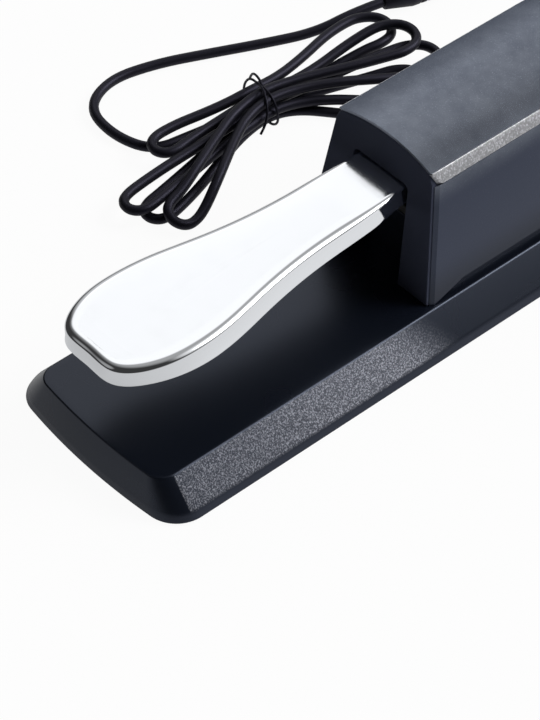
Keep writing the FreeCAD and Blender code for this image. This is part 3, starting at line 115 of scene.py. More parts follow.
LEAST_CORNER = 0.05
MERGE = 2e-6


def size(name, description, default):
    return bpy.props.FloatProperty(name=name, description=description, default=default, unit="LENGTH")


def colour(name, description, default):
    return bpy.props.FloatVectorProperty(name=name, description=description, default=default, subtype="COLOR",
                                         size=3)


class PedalSizes(bpy.types.PropertyGroup):
    """The sizes a maker would change first, in metres."""
    lead_width: size("Lead diameter", "Outside diameter of the lead", 0.004)
    lead_length: size("Lead length", "From the strain relief to the plug", 1.65)
    deck_edge: size("Deck edge", "Rounding of the deck's edge", 0.0008)
    housing_edge: size("Housing edge", "Rounding of the housing's edges", 0.0006)
    lever_edge: size("Lever edge", "Drop of the lever's rounded upper edge", 0.0019)
    lever_crown: size("Lever crown", "Rise of the lever's middle over its sides", 0.0003)


class PedalColours(bpy.types.PropertyGroup):
    """The colours of the visible finishes."""
    case: colour("Case", "Moulded base", (0.0048, 0.0066, 0.0120))
    housing: colour("Housing", "Moulded housing cover", (0.026, 0.032, 0.055))
    lever: colour("Lever", "Plated lever", (0.885, 0.905, 0.935))
    strip: colour("Trim strips", "Metal flake strips on the housing", (0.66, 0.665, 0.70))
    lead: colour("Lead", "Jacket of the lead, its boots and its tie", (0.007, 0.007, 0.010))


def adjust(thing, **settings):
    for name, value in settings.items():
        setattr(thing, name, value)


# Numbers that vary over a surface

class Value:
    """A socket that can be used in arithmetic: each operation adds one Math node."""

    def __init__(self, finish, socket):
        self.finish = finish
        self.socket = socket

    def maths(self, operation, *terms):
        return self.finish.node("ShaderNodeMath", {"operation": operation}, dict(enumerate(terms)))

    def __add__(self, other):
        return self.maths("ADD", self, other)

    __radd__ = __add__

    def __sub__(self, other):
        return self.maths("SUBTRACT", self, other)

    def __rsub__(self, other):
        return self.maths("SUBTRACT", other, self)

    def __mul__(self, other):
        return self.maths("MULTIPLY", self, other)

    __rmul__ = __mul__

    def lower(self, other):
        return self.maths("MINIMUM", self, other)

    def size(self):
        return self.maths("ABSOLUTE", self)

    def ramp(self, low, high, start=0.0, end=1.0):
        """A smooth rise from start to end while this value goes from low to high."""
        return self.finish.node("ShaderNodeMapRange", {"interpolation_type": "SMOOTHSTEP"},
                                {0: self, 1: low, 2: high, 3: start, 4: end})


class Finish:
    """A node tree of a material or world, its object coordinates, and the method that adds any node to it."""

    def __init__(self, owner):
        self.owner = owner
        owner.use_nodes = True
        self.tree = owner.node_tree
        self.place = self.node("ShaderNodeTexCoord", {}, {}, "Object")

    def node(self, kind, settings, sockets, output=0):
        """Adds a node: its settings first, then values or links by socket name or number."""
        made = self.tree.nodes.new(kind)
        adjust(made, **settings)
        for name, value in sockets.items():
            self.put(made.inputs[name], value)
        return Value(self, made.outputs[output])

    def put(self, socket, value):
        if isinstance(value, Value):
            self.tree.links.new(value.socket, socket)
        else:
            socket.default_value = value

    def shader(self, **surface):
        """Sets sockets of the Principled shader, spaces in their names written as underscores."""
        made = self.tree.nodes["Principled BSDF"]
        for name, value in surface.items():
            if isinstance(value, tuple) and len(value) == 3:
                value = (*value, 1.0)
            self.put(made.inputs[name.replace("_", " ")], value)
        return self.owner

    def parts(self, vector=None):
        """The three numbers of a vector, or else of the place in metres."""
        split = self.node("ShaderNodeSeparateXYZ", {}, {0: vector or self.place})
        return [Value(self, output) for output in split.socket.node.outputs]

    def noise(self, scale, detail=2.0, roughness=0.5, place=None):
        values = {"Vector": place or self.place, "Scale": scale, "Detail": detail, "Roughness": roughness}
        return self.node("ShaderNodeTexNoise", {}, values, "Fac")

    def streaks(self, scales):
        """Noise with its own fineness along each of the three directions."""
        return self.noise(1.0, place=self.node("ShaderNodeMapping", {}, {"Vector": self.place, "Scale": scales}))

    def cells(self, scale, output="Distance"):
        return self.node("ShaderNodeTexVoronoi", {}, {"Vector": self.place, "Scale": scale}, output)

    def blend(self, share, first, second):
        """A colour between two, by a share from 0 to 1."""
        made = self.node("ShaderNodeMix", {"data_type": "RGBA"}, {0: share}, 2)
        for index, colour in ((6, first), (7, second)):
            if isinstance(colour, tuple):
                colour = (*colour[:3], 1.0)
            self.put(made.socket.node.inputs[index], colour)
        return made

    def bump(self, height, depth, strength=1.0):
        """A normal disturbed by a height from 0 to 1 that stands for depth metres."""
        return self.node("ShaderNodeBump", {}, {"Strength": strength, "Distance": depth, "Height": height})


def finish(name):
    return Finish(bpy.data.materials.new(name))


def tint(colour, gain):
    return tuple(gain * c for c in colour)


# Surfaces as arrays

def rounded(nodes, reach, steps):
    """A path of straight runs with each inner corner replaced by a parabola.

    The parabola starts and ends at reach from the corner, or at 0.45 of a shorter run.
    """
    nodes = np.asarray(nodes, float)
    corner = nodes[1:-1]
    ends = []
    for run in (nodes[:-2] - corner, nodes[2:] - corner):
        share = np.minimum(reach / np.maximum(np.linalg.norm(run, axis=1), 1e-9), 0.45)[:, None]
        ends.append((corner + run * share)[:, None, :])
    t = np.linspace(0.0, 1.0, steps)[None, :, None]
    curves = (1 - t) ** 2 * ends[0] + 2 * t * (1 - t) * corner[:, None, :] + t ** 2 * ends[1]
    return np.vstack([nodes[:1], curves.reshape(-1, nodes.shape[1]), nodes[-1:]])


def spline(points, count):
    """A path through points at equal steps: a cubic spline whose pieces meet without a bend."""
    points = np.asarray(points, float)
    knots = np.concatenate([[0.0], np.cumsum(np.linalg.norm(np.diff(points, axis=0), axis=1))])
    gaps = np.diff(knots)
    size = len(points)
    system = np.eye(size)
    rows = np.arange(1, size - 1)
    system[rows, rows - 1] = gaps[:-1]
    system[rows, rows] = 2 * (gaps[:-1] + gaps[1:])
    system[rows, rows + 1] = gaps[1:]
    slopes = np.diff(points, axis=0) / gaps[:, None]
    right = np.zeros_like(points)
    right[1:-1] = 6 * np.diff(slopes, axis=0)
    bends = np.linalg.solve(system, right)
    at = np.linspace(0.0, knots[-1], count)
    i = np.clip(np.searchsorted(knots, at, side="right") - 1, 0, size - 2)
    h = gaps[i][:, None]
    a = (knots[i + 1] - at)[:, None] / h
    b = 1 - a
    return (a * points[i] + b * points[i + 1]
            + ((a ** 3 - a) * bends[i] + (b ** 3 - b) * bends[i + 1]) * h ** 2 / 6)


def grid_faces(rows, columns, wrap=True, start=0):
    """Four-sided faces of a grid of points that are numbered row by row, closed round when wrap is on."""
    across = columns if wrap else columns - 1
    i, j = np.meshgrid(np.arange(rows - 1), np.arange(across), indexing="ij")
    k = (j + 1) % columns
    faces = np.stack([i * columns + j, i * columns + k, (i + 1) * columns + k, (i + 1) * columns + j], axis=-1)
    return (faces.reshape(-1, 4) + start).tolist()


def capped(rings):
    """Points and faces of rings laid one after the other, with a flat face at each end."""
    rows, columns = rings.shape[:2]
    faces = grid_faces(rows, columns)
    faces += [list(range(columns)), list(range((rows - 1) * columns, rows * columns))]
    return rings.reshape(-1, 3), faces


def joined(*forms):
    """Several sets of points and faces as one."""
    points = []
    faces = []
    count = 0
    for p, f in forms:
        points.append(np.asarray(p, float).reshape(-1, 3))
        faces += [[count + v for v in face] for face in f]
        count += len(points[-1])
    return np.vstack(points), faces


def mirrored(form):
    points, faces = form
    return np.asarray(points) * np.array([-1.0, 1.0, 1.0]), faces


def unit(vectors):
    """Vectors at length 1."""
    vectors = np.asarray(vectors, float)
    return vectors / np.linalg.norm(vectors, axis=-1, keepdims=True)


def circles(u, v, sides):
    """A circle of radius 1 for each pair of directions: cosine * u + sine * v."""
    angle = np.linspace(0.0, 2 * math.pi, sides, endpoint=False)[:, None]
    return np.cos(angle) * u[..., None, :] + np.sin(angle) * v[..., None, :]


def round_body(profile, origin, along, sides=48):
    """A turned body: each profile pair of distance and radius swept round an axis.

    A point is origin + along * distance + radius * (cosine * u + sine * v), u and v square to along.
    """
    distance, radius = np.asarray(profile, float).T[..., None, None]
    along = unit(along)
    u = unit(np.cross(along, (0.0, 0.0, 1.0)))
    points = origin + distance * along + radius * circles(u, np.cross(u, along), sides)
    return points.reshape(-1, 3), grid_faces(len(profile), sides)


def tube(path, radius, sides):
    """A round wire along a path: rings square to it, each turned by the axis that the path follows least."""
    path = np.asarray(path, float)
    heading = unit(np.gradient(path, axis=0))
    guide = np.eye(3)[int(np.argmin(np.ptp(heading, axis=0) + np.abs(heading).mean(axis=0)))]
    u = unit(np.cross(heading, guide))
    return capped(path[:, None, :] + radius * circles(u, np.cross(heading, u), sides))


def rounded_block(low, high, edge, corner):
    """A block with rounded edges: rounded rectangles in plan, drawn in at its foot and top by a quarter round."""
    low, high = np.asarray((low, high), float)
    turn = np.linspace(0.0, math.pi / 2, 5)
    inset = np.concatenate([edge * (1 - np.sin(turn)), edge * (1 - np.cos(turn))])
    height = np.concatenate([low[2] + edge * (1 - np.cos(turn)), high[2] - edge * (1 - np.sin(turn))])
    angles = np.linspace(0.0, math.pi / 2, 6) + np.arange(4)[:, None] * math.pi / 2
    sign = np.array([(1, 1), (-1, 1), (-1, -1), (1, -1)])
    centres = (low + high)[:2] / 2 + sign * ((high - low)[:2] / 2 - corner)
    radius = np.maximum(corner - inset, LEAST_CORNER)[:, None, None]
    shift = np.minimum(0.0, corner - inset - LEAST_CORNER)[:, None, None]
    x, y = (centres[:, None, axis] + radius * wave(angles) + shift * sign[:, None, axis]
            for axis, wave in enumerate((np.cos, np.sin)))
    rings = np.stack([x, y, np.broadcast_to(height[:, None, None], x.shape)], axis=-1)
    return capped(rings.reshape(len(height), -1, 3))


def cleaned(mesh, flat=None):
    """Merges a mesh's doubles, makes whole what is flat to an angle in degrees, and turns its faces outwards."""
    work = bmesh.new()
    work.from_mesh(mesh)
    bmesh.ops.remove_doubles(work, verts=work.verts, dist=MERGE)
    if flat:
        bmesh.ops.dissolve_limit(work, angle_limit=math.radians(flat), verts=work.verts, edges=work.edges)
    bmesh.ops.recalc_face_normals(work, faces=work.faces)
    work.to_mesh(mesh)
    work.free()
    return mesh


def piece(name, form, material, nodes, sharp, body="pedal_body", tone=None):
    """Makes a mesh of points in millimetres. tone is a number for each point that the material can read."""
    points, faces = form
    mesh = bpy.data.meshes.new(name)
    mesh.from_pydata((np.asarray(points) * MM).tolist(), [], faces)
    if tone is not None:
        mesh.attributes.new("tone", "FLOAT", "POINT").data.foreach_set("value", np.asarray(tone, np.float32))
    return placed(name, cleaned(mesh), material, nodes, sharp, body)


def linked(name, data):
    item = bpy.data.objects.new(name, data)
    bpy.context.scene.collection.objects.link(item)
    return item


def placed(name, data, material, nodes, sharp=None, body="pedal_body"):
    """Links a piece, gives it its material, and lets it ride on its body."""
    item = linked(name, data)
    data.materials.append(material)
    if sharp is not None:
        data.polygons.foreach_set("use_smooth", np.ones(len(data.polygons), bool))
        data.set_sharp_from_angle(angle=math.radians(sharp))
    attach(item, body)
    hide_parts(*nodes)
    return item


def dressed(name, node, material, edge, least_angle=28.0):
    """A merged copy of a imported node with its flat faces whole, and its edges rounded unless edge is 0."""
    mesh = frame["nodes"][node].data.copy()
    mesh.name = name
    mesh.materials.clear()
    cleaned(mesh, 0.6)
    if "custom_normal" in mesh.attributes:
        mesh.attributes.remove(mesh.attributes["custom_normal"])
    item = placed(name, mesh, material, (node,), least_angle)
    if edge:
        adjust(item.modifiers.new("edges", "BEVEL"), width=edge, segments=3, limit_method="ANGLE",
               angle_limit=math.radians(least_angle), harden_normals=True, use_clamp_overlap=True)
    return item


def corners(node):
    """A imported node's lowest and highest corner, in metres."""
    return [np.array(corner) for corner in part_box(node)]


# Finishes

COOL = (0.68, 0.77, 1.0)
VIOLET = (0.72, 0.70, 1.0)
# lighter colour of the base's rim band: a painted reflection
RIM_REFLECTION_COLOUR = (0.020, 0.023, 0.034)
# pale grey of the grained patch: a painted sheen
PATCH_SHEEN_COLOUR = (0.50, 0.51, 0.57)
FLAKE_COLOUR = (0.26, 0.285, 0.33)
# dark colour of the lever's hollow and ears: a painted shade
HOLLOW_SHADE_COLOUR = (0.022, 0.024, 0.028)


def case_finish(colours):
    """Satin moulding, smooth on the deck and toe, with a grained patch on each long flank.

    The patch runs from the toe's corner to a slanting fade at the housing's front, between the rim and the
    deck's edge. The patch's grain is moulded; its pale grey colour, lighter towards the rear, is a painted
    sheen. The rim's lighter colour is a painted reflection; its extra roughness is real.
    """
    f = finish("moulded case")
    x, y, z = f.parts()
    flank = z.ramp(0.0034, 0.0048) * (1 - z.ramp(0.0148, 0.0152)) * x.size().ramp(0.0325, 0.0335)
    slanted = y - (0.0152 - z) * 0.9
    patch = flank * y.ramp(-0.1100, -0.1094) * (1 - slanted.ramp(-0.020, 0.006))
    rim = 1 - z.ramp(0.0028, 0.0044)
    rearward_sheen = y.ramp(-0.11, 0.0)
    grain = f.noise(1700.0, 3.0, 0.7)
    soft = f.noise(26.0)
    fine = f.noise(4200.0)
    # painted reflection: the rim band is coloured lighter than the case
    ground = f.blend(rim, tuple(colours.case), RIM_REFLECTION_COLOUR)
    # painted sheen: the patch's pale grey, growing towards the rear, stands in for a lamp's glint on the grain
    share = patch * (0.05 + 0.11 * rearward_sheen + (0.62 + 0.30 * rearward_sheen) * grain.ramp(0.44, 0.68))
    return f.shader(Base_Color=f.blend(share, ground, PATCH_SHEEN_COLOUR),
                    Roughness=0.25 + 0.05 * soft + patch * 0.25 + rim * 0.12,
                    Normal=f.bump(fine * 0.08 + patch * grain * 0.9, 0.00006), IOR=1.52, Specular_Tint=COOL)


def housing_finish(colours):
    """Dark lacquer full of fine metal flakes that show, in clouds, where the top turns up to the light."""
    f = finish("speckled housing")
    z = f.parts()[2]
    fine = f.noise(2600.0, 3.0, 0.7)
    cloud = f.noise(45.0, 3.0, 0.55)
    mottle = f.noise(150.0, 4.0, 0.65)
    speck = (1 - f.cells(1300.0).ramp(0.10, 0.38)) * fine.ramp(0.40, 0.62)
    top = z.ramp(0.055, 0.068)
    # painted shade: the housing's lower side is darkened towards its foot
    foot = 1 - z.ramp(0.018, 0.034)
    share = top * (0.12 + 0.35 * cloud + 0.42 * mottle + 0.35 * speck) + 0.08 * speck
    colour = f.blend(share, tuple(colours.housing), FLAKE_COLOUR)
    # painted shade: a darker copy of the housing colour near the foot
    return f.shader(Base_Color=f.blend(foot * 0.75, colour, tint(colours.housing, 0.15)),
                    Roughness=0.34 - 0.12 * top + 0.06 * cloud, Metallic=top * 0.75,
                    Normal=f.bump(fine, 0.00003, 0.6), IOR=1.5, Specular_Tint=COOL)


def bezel_finish():
    """The front bezel's duller, bluer moulding."""
    f = finish("front bezel moulding")
    soft = f.noise(60.0)
    return f.shader(Base_Color=f.blend(soft, (0.046, 0.052, 0.080), (0.056, 0.063, 0.094)),
                    Roughness=0.42 + 0.08 * soft, Normal=f.bump(f.noise(3000.0), 0.00002, 0.5), IOR=1.5,
                    Specular_IOR_Level=0.02, Specular_Tint=COOL)


def strip_finish(colours):
    """Metal flake film: bright grains in a grey ground."""
    f = finish("metal flake strip")
    shade = f.parts(f.cells(1700.0, "Color"))[0]
    grain = f.noise(1300.0, 3.0, 0.7)
    return f.shader(Base_Color=f.blend(shade.ramp(0.2, 0.95) * grain.ramp(0.3, 0.7), tint(colours.strip, 0.62),
                                       tint(colours.strip, 1.35)),
                    Roughness=0.32 + 0.2 * grain, Metallic=0.75,
                    Normal=f.bump(shade * 0.5 + grain * 0.5, 0.00004, 0.7))


def lever_finish(colours):
    """Bright plating over pressed steel, worn to a haze on the top, with a dull dark hollow.

    The mesh's tone is 1 in the hollow and -1 on the worn top, which stays bright inside the mouth. The hollow
    and the pivot ears are coloured dark as painted shade; their dullness is real.
    """
    f = finish("bright plating")
    tone = f.node("ShaderNodeAttribute", {"attribute_name": "tone"}, {}, "Fac")
    hollow = tone.ramp(0.3, 0.9)
    covered = f.parts()[1].ramp(-0.014, 0.000)
    worn = tone.ramp(-0.15, -0.9) * (1 - 0.9 * covered)
    haze = f.noise(140.0, 4.0, 0.6)
    hair = f.streaks((900.0, 40.0, 900.0))
    colour = f.blend(haze, tint(colours.lever, 0.985), tuple(colours.lever))
    # painted shade: the hollow's dark colour
    return f.shader(Base_Color=f.blend(hollow, colour, HOLLOW_SHADE_COLOUR), Metallic=1 - hollow * 0.6,
                    Roughness=0.05 + worn * (0.14 + 0.05 * haze.ramp(0.4, 0.75)) + 0.02 * hair + hollow * 0.5,
                    Normal=f.bump(f.noise(18.0, 1.0), 0.00004, 0.5))


def lead_finish(colours):
    """Soft black jacket with a dull sheen and fine mould lines."""
    f = finish("lead jacket")
    soft = f.noise(90.0)
    return f.shader(Base_Color=f.blend(soft, tint(colours.lead, 0.75), tint(colours.lead, 1.5)),
                    Roughness=0.40 + 0.12 * soft, Normal=f.bump(f.noise(1500.0, 3.0, 0.6), 0.00003, 0.5),
                    IOR=1.5, Specular_IOR_Level=0.25, Specular_Tint=VIOLET)


def rubber_finish(name, colour, roughness=0.75):
    """Matt rubber with a dusty grain."""
    f = finish(name)
    dust = f.noise(130.0, 3.0, 0.6)
    return f.shader(Base_Color=f.blend(dust.ramp(0.35, 0.8), colour, tint(colour, 1.9)),
                    Roughness=roughness + 0.1 * dust, Normal=f.bump(f.noise(1600.0, 4.0, 0.6), 0.00006, 0.7))


def zinc_finish():
    """Zinc-plated sheet: bluish grey clouds, with rolling marks along the sheet."""
    f = finish("zinc plating")
    cloud = f.noise(160.0, 3.0, 0.6)
    return f.shader(Base_Color=f.blend(cloud.ramp(0.3, 0.7), (0.44, 0.46, 0.48), (0.60, 0.61, 0.60)),
                    Metallic=1.0, Roughness=0.28 + 0.16 * cloud,
                    Normal=f.bump(f.streaks((2200.0, 90.0, 900.0)), 0.00002, 0.4))


def nickel_finish():
    """Polished nickel with handling haze."""
    f = finish("nickel plating")
    haze = f.noise(300.0, 3.0, 0.6)
    return f.shader(Base_Color=f.blend(haze, (0.62, 0.60, 0.56), (0.76, 0.74, 0.70)), Metallic=1.0,
                    Roughness=0.12 + 0.12 * haze.ramp(0.4, 0.8))


def nylon_finish():
    """Milky nylon with soft flow marks."""
    f = finish("natural nylon")
    flow = f.noise(220.0)
    return f.shader(Base_Color=f.blend(flow, (0.66, 0.64, 0.57), (0.78, 0.77, 0.71)),
                    Roughness=0.38 + 0.1 * flow, IOR=1.53, Subsurface_Weight=0.05)


def switch_finish():
    """Hard black switch moulding."""
    f = finish("switch moulding")
    fine = f.noise(1800.0)
    return f.shader(Base_Color=f.blend(fine, (0.010, 0.010, 0.012), (0.022, 0.022, 0.026)),
                    Roughness=0.42 + 0.1 * fine, Normal=f.bump(fine, 0.00003, 0.5))


def felt_finish():
    """Grey pressed felt: tangled short fibres."""
    f = finish("pressed felt")
    fibre = f.noise(2400.0, 6.0, 0.8)
    tuft = f.noise(500.0, 3.0, 0.7)
    return f.shader(Base_Color=f.blend(fibre.ramp(0.3, 0.7), (0.035, 0.036, 0.040), (0.12, 0.12, 0.125)),
                    Roughness=0.95, Normal=f.bump(fibre * 0.6 + tuft * 0.4, 0.00025, 0.9))


# The stage

ROOM_LEVEL = 0.04
# The panels' directions, levels, and the angles in degrees at which each starts and ends its fall
PANELS = {
    "soft lamp over the back left": ((-0.525, 0.458, 0.717), 0.72, 13, 23),
    "wide dim panel behind it": ((-0.25, 0.65, 0.72), 0.34, 26, 52),
    "faint panel on the left": ((-0.80, 0.50, 0.36), 0.40, 8, 20),
    "bright panel over the back right": ((0.45, 0.68, 0.58), 0.85, 14, 34),
    "faint panel in front": ((-0.36, -0.61, 0.70), 0.28, 8, 22),
    "key lamp in the bright panel": ((0.42, 0.66, 0.62), 10.0, 10, 18)}
LOW_PANEL = ((0.87, 0.49, 0.0), 0.25, 18, 53)
LOW_PANEL_TOP = (0.1, 0.3)
FLOOR_HALF = 6.0
CAMERA_TURN = 48.896
CAMERA_RISE = 45.81
CAMERA_DISTANCE = 1008.24
CAMERA_FOCUS = 2864.5
CAMERA_AIM = (2.964, -40.754, 0.0)
PICTURE_HEIGHT = 720.0
SENSOR = 36.0


def make_camera():
    """The camera, aimed from its turn and its rise, with its focus in picture points."""
    turn = math.radians(CAMERA_TURN)
    rise = math.radians(CAMERA_RISE)
    back = np.array([math.sin(turn) * math.cos(rise), -math.cos(turn) * math.cos(rise), math.sin(rise)])
    right = np.array([math.cos(turn), math.sin(turn), 0.0])
    data = bpy.data.cameras.new("camera")
    adjust(data, sensor_width=SENSOR, lens=CAMERA_FOCUS / PICTURE_HEIGHT * SENSOR, clip_start=0.05, clip_end=20.0)
    item = linked("camera", data)
    matrix = np.eye(4)
    place = (np.array(CAMERA_AIM) + back * CAMERA_DISTANCE) * MM
    matrix[:3] = np.stack([right, np.cross(back, right), back, place], axis=1)
    item.matrix_world = Matrix(matrix.tolist())
    bpy.context.scene.camera = item


def make_world():
    """A dim room with soft panels for glossy surfaces to mirror, white to the eye.

    The level of a direction is the sum of smooth spots round the panels' directions. The low panel on the
    right ends a little above the horizon.
    """
    world = bpy.data.worlds.new("studio")
    bpy.context.scene.world = world
    f = Finish(world)
    look = Value(f, f.place.socket.node.outputs["Generated"])

    def towards(direction):
        return f.node("ShaderNodeVectorMath", {"operation": "DOT_PRODUCT"},
                      {0: look, 1: tuple(unit(direction))}, "Value")

    def glow(direction, strength, inner, outer):
        return strength * towards(direction).ramp(*np.cos(np.radians((outer, inner))).tolist())

    level = ROOM_LEVEL + glow(*LOW_PANEL) * (1 - towards((0.0, 0.0, 1.0)).ramp(*LOW_PANEL_TOP))
    for panel in PANELS.values():
        level = level + glow(*panel)
    eye = f.node("ShaderNodeLightPath", {}, {}, "Is Camera Ray")
    background = f.tree.nodes["Background"]
    background.inputs["Color"].default_value = (1.0, 1.0, 1.0, 1.0)
    f.put(background.inputs["Strength"], level * (1 - eye) + eye)


def make_floor():
    """A white floor that keeps a faint shadow for the eye and shows white in plating, dimmer further off."""
    mesh = bpy.data.meshes.new("floor")
    plan = [(x * FLOOR_HALF, y * FLOOR_HALF, 0.0) for x, y in ((-1, -1), (1, -1), (1, 1), (-1, 1))]
    mesh.from_pydata(plan, [], [(0, 1, 2, 3)])
    item = linked("floor", mesh)
    f = finish("white floor")
    f.shader(Base_Color=(0.92, 0.92, 0.92), Roughness=0.9, Specular_IOR_Level=0.1)
    ground = Value(f, f.tree.nodes["Principled BSDF"].outputs[0])
    path = f.node("ShaderNodeLightPath", {}, {}).socket.node
    eye, gloss = (Value(f, path.outputs[name]) for name in ("Is Camera Ray", "Is Glossy Ray"))
    reach = f.node("ShaderNodeVectorMath", {"operation": "LENGTH"}, {0: f.place}, "Value")
    mirrored_floor = (0.52 + f.parts()[1].ramp(-0.25, 0.10) * 0.31) * reach.ramp(0.35, 0.75, 1.0, 0.3)
    strength = mirrored_floor * (1 - eye) + eye
    light = f.node("ShaderNodeEmission", {}, {"Color": (1.0, 1.0, 1.0, 1.0), "Strength": strength})
    share = (eye * 0.95 + gloss * 0.75).lower(1.0)
    mixed = f.node("ShaderNodeMixShader", {}, {0: share, 1: ground, 2: light})
    f.put(f.tree.nodes["Material Output"].inputs["Surface"], mixed)
    mesh.materials.append(f.owner)


# The lead, along the route's own points

TIE_PLACE = (-95.0, 42.0)
HEADING_LEFT = 99.8
HEADING_RIGHT = 74.3
BEND_HALF = 25.0
LINE_STEPS = 40
LAYER_STEP = 4.68
STRAND_STEP = 4.7
TIE_LIFT = 1.3
TIE_SPREAD = 12.0
TIE_RADIUS = 0.5
FOLD_HALVES = {-1: 5.5, 1: 9.0}
CLIMBS = (0.35, 0.42)
# A loop of the hank: its side, where its strands cross the tie, their layers there, its reach and centre,
# its end's layers, the share of each strand at which it starts to climb, and the way it turns
LOOPS = [(-1, (0.45, -0.55), (0, 0), 71.5, 5.0, (0.0, 0.0), (0.35, 0.35), 1),
         (1, (-0.55, 1.0), (0, 1), 66.0, 8.0, (0, 0), CLIMBS, -1),
         (-1, (1.0, 0.0), (1, 1), 76.5, -0.5, (1.0, 1.0), (0.35, 0.35), 1),
         (1, (0.0, 0.6), (1, 2), 75.0, 2.0, (1, 1), CLIMBS, -1),
         (-1, (0.6, -0.45), (2, 2), 69.4, 14.8, (0.15, 1.05), (0.62, 0.62), 1),
         (1, (-0.45, -1.0), (2, 1), 70.0, -8.0, (2, 2), CLIMBS, 1),
         (-1, (-1.0, -2.0), (1, 1), 46.0, -13.3, (1.0, 1.0), (0.35, 0.35), 1),
         (1, (-2.0, -1.5), (1, 0), 66.0, -21.2, (1, 1), CLIMBS, -1)]


def smooth(x):
    x = np.clip(x, 0.0, 1.0)
    return x * x * (3 - 2 * x)


def layer(n):
    return FLOOR_LAYER + LAYER_STEP * n


def hank_heading(s):
    share = smooth((s + BEND_HALF) / (2 * BEND_HALF))
    return np.radians(HEADING_LEFT + (HEADING_RIGHT - HEADING_LEFT) * share)


def hank_place(path):
    """Places of points given by their run along the hank's bent middle line, their offset and height.

    The middle line is the sum of small steps along its heading, and the offset is square to it. The tie
    lifts the strands by TIE_LIFT * exp(-(run / TIE_SPREAD) ** 2).
    """
    s, t, z = np.asarray(path, float).T
    steps = (np.arange(LINE_STEPS) + 0.5) / LINE_STEPS
    heading = hank_heading(s[:, None] * steps[None, :])
    x = TIE_PLACE[0] + (np.cos(heading) * s[:, None]).mean(axis=1)
    y = TIE_PLACE[1] + (np.sin(heading) * s[:, None]).mean(axis=1)
    end = hank_heading(s)
    lift = TIE_LIFT * np.exp(-(s / TIE_SPREAD) ** 2)
    return np.stack([x + t * np.sin(end), y - t * np.cos(end), z + lift], axis=-1)


def strand(side, tie, level, far, offset, far_level, climb=0.35):
    """One strand from the tie to the start of a fold, easing to its offset and its layer."""
    share = np.array([0.0, 0.22, 0.45, 0.7, 0.9])
    ease = smooth((share - 0.06) / 0.9)
    rise = smooth((share - climb) / min(0.6, 1.0 - climb))
    t = tie * STRAND_STEP + (offset - tie * STRAND_STEP) * ease
    z = layer(level) + (layer(far_level) - layer(level)) * rise
    return np.stack([side * far * share, t, z], axis=-1)


def loop_points(side, ties, levels, reach, centre, ends, climbs, sign):
    """A strand out from the tie, half a turn in steps of an eighth, and the strand back to the tie."""
    half = FOLD_HALVES[side]
    out, back = (strand(side, ties[i], levels[i], reach - half, centre + way * half, ends[i], climbs[i])
                 for i, way in ((0, sign), (1, -sign)))
    angle = np.linspace(0.0, math.pi, 5)
    s = side * (reach - half + half * np.sin(angle))
    t = centre + sign * half * np.cos(angle)
    z = layer(ends[0]) + (layer(ends[1]) - layer(ends[0])) * smooth(angle / math.pi)
    return [out[1:], np.stack([s, t, z], axis=-1), back[::-1]]


def hank_points():
    low = layer(0)
    path = [[(57.0, 28.0, low)], strand(1, 0.45, 0, 57.0, 28.0, 0)[::-1]]
    for row in LOOPS:
        path += loop_points(*row)
    last = LOOPS[-1][1][1] * STRAND_STEP
    path.append([(-9.0, last - 0.4, low), (-18.0, last - 2.2, low), (-27.0, last - 5.4, low)])
    return hank_place(np.vstack(path))


def lead_points():
    """All the lead's points: down behind the pedal, through the tied hank, round the loose loop to the plug."""
    low = layer(0)
    hank = hank_points()
    down = [(0.0, RELIEF_TIP, EXIT_Z), (0.0, RELIEF_TIP + 18, EXIT_Z), (-4.0, RELIEF_TIP + 40, 13.0),
            (-24.0, RELIEF_TIP + 52, low), (-48.0, RELIEF_TIP + 43, low), (-60.0, RELIEF_TIP + 20, low),
            hank[0] - unit(hank[1] - hank[0]) * 20.0]
    loose = [hank[-1] + unit(hank[-1] - hank[-2]) * 16.0, (-123.6, -8.9, low), (-142.6, -6.4, low),
             (-150.6, 10.1, low), (-146.1, 30.1, low), (-137.6, 49.1, low), (-128.0, 69.5, low),
             PLUG_END - PLUG_ALONG * 31.0 + (0.0, 0.0, low - PLUG_END[2]), PLUG_END - PLUG_ALONG * 13.0, PLUG_END]
    return np.vstack([down, hank, loose])


def make_lead(material, sizes):
    """The lead as one smooth curve with the route's points as its control points."""
    points = lead_points() + (0.0, 0.0, LEAD_LIFT)
    data = bpy.data.curves.new("lead", "CURVE")
    adjust(data, dimensions="3D", bevel_depth=sizes.lead_width / 2, bevel_resolution=4, resolution_u=8,
           use_fill_caps=True)
    line = data.splines.new("NURBS")
    line.points.add(len(points) - 1)
    control = np.hstack([points * MM, np.ones((len(points), 1))])
    line.points.foreach_set("co", control.astype(np.float32).ravel())
    adjust(line, order_u=3, use_endpoint_u=True, use_smooth=True)
    return placed("lead", data, material, ("cord_lead", "cord_hank", "cord_tail"))


def make_relief(material):
    """The moulded boot at the housing's rear: a flange, then a taper with five cut grooves.

    At a distance d from the housing the taper's radius is 4.6 - 1.6 * (d - 2) / 24.
    """
    steps = [(-4.4, 0.0), (-4.4, 5.6), (-2.25, 5.6), (-2.25, 3.95), (0.05, 3.95), (0.05, 5.6), (2.0, 5.6),
             (2.0, 4.6)]
    for start in 5.0 + 3.8 * np.arange(5):
        outer = 4.6 - 1.6 * (start - 2.0) / 24.0
        steps += [(start, outer), (start, 2.7), (start + 1.4, 2.7), (start + 1.4, outer - 0.09)]
    steps += [(26.0, 3.0), (26.0, 2.0), (22.0, 1.9), (22.0, 0.0)]
    form = round_body(rounded(steps, 0.3, 4), (0.0, HOUSING_REAR, EXIT_Z), (0.0, 1.0, 0.0))
    return piece("strain_relief", form, material, ("cord_strain_relief",), 50.0)


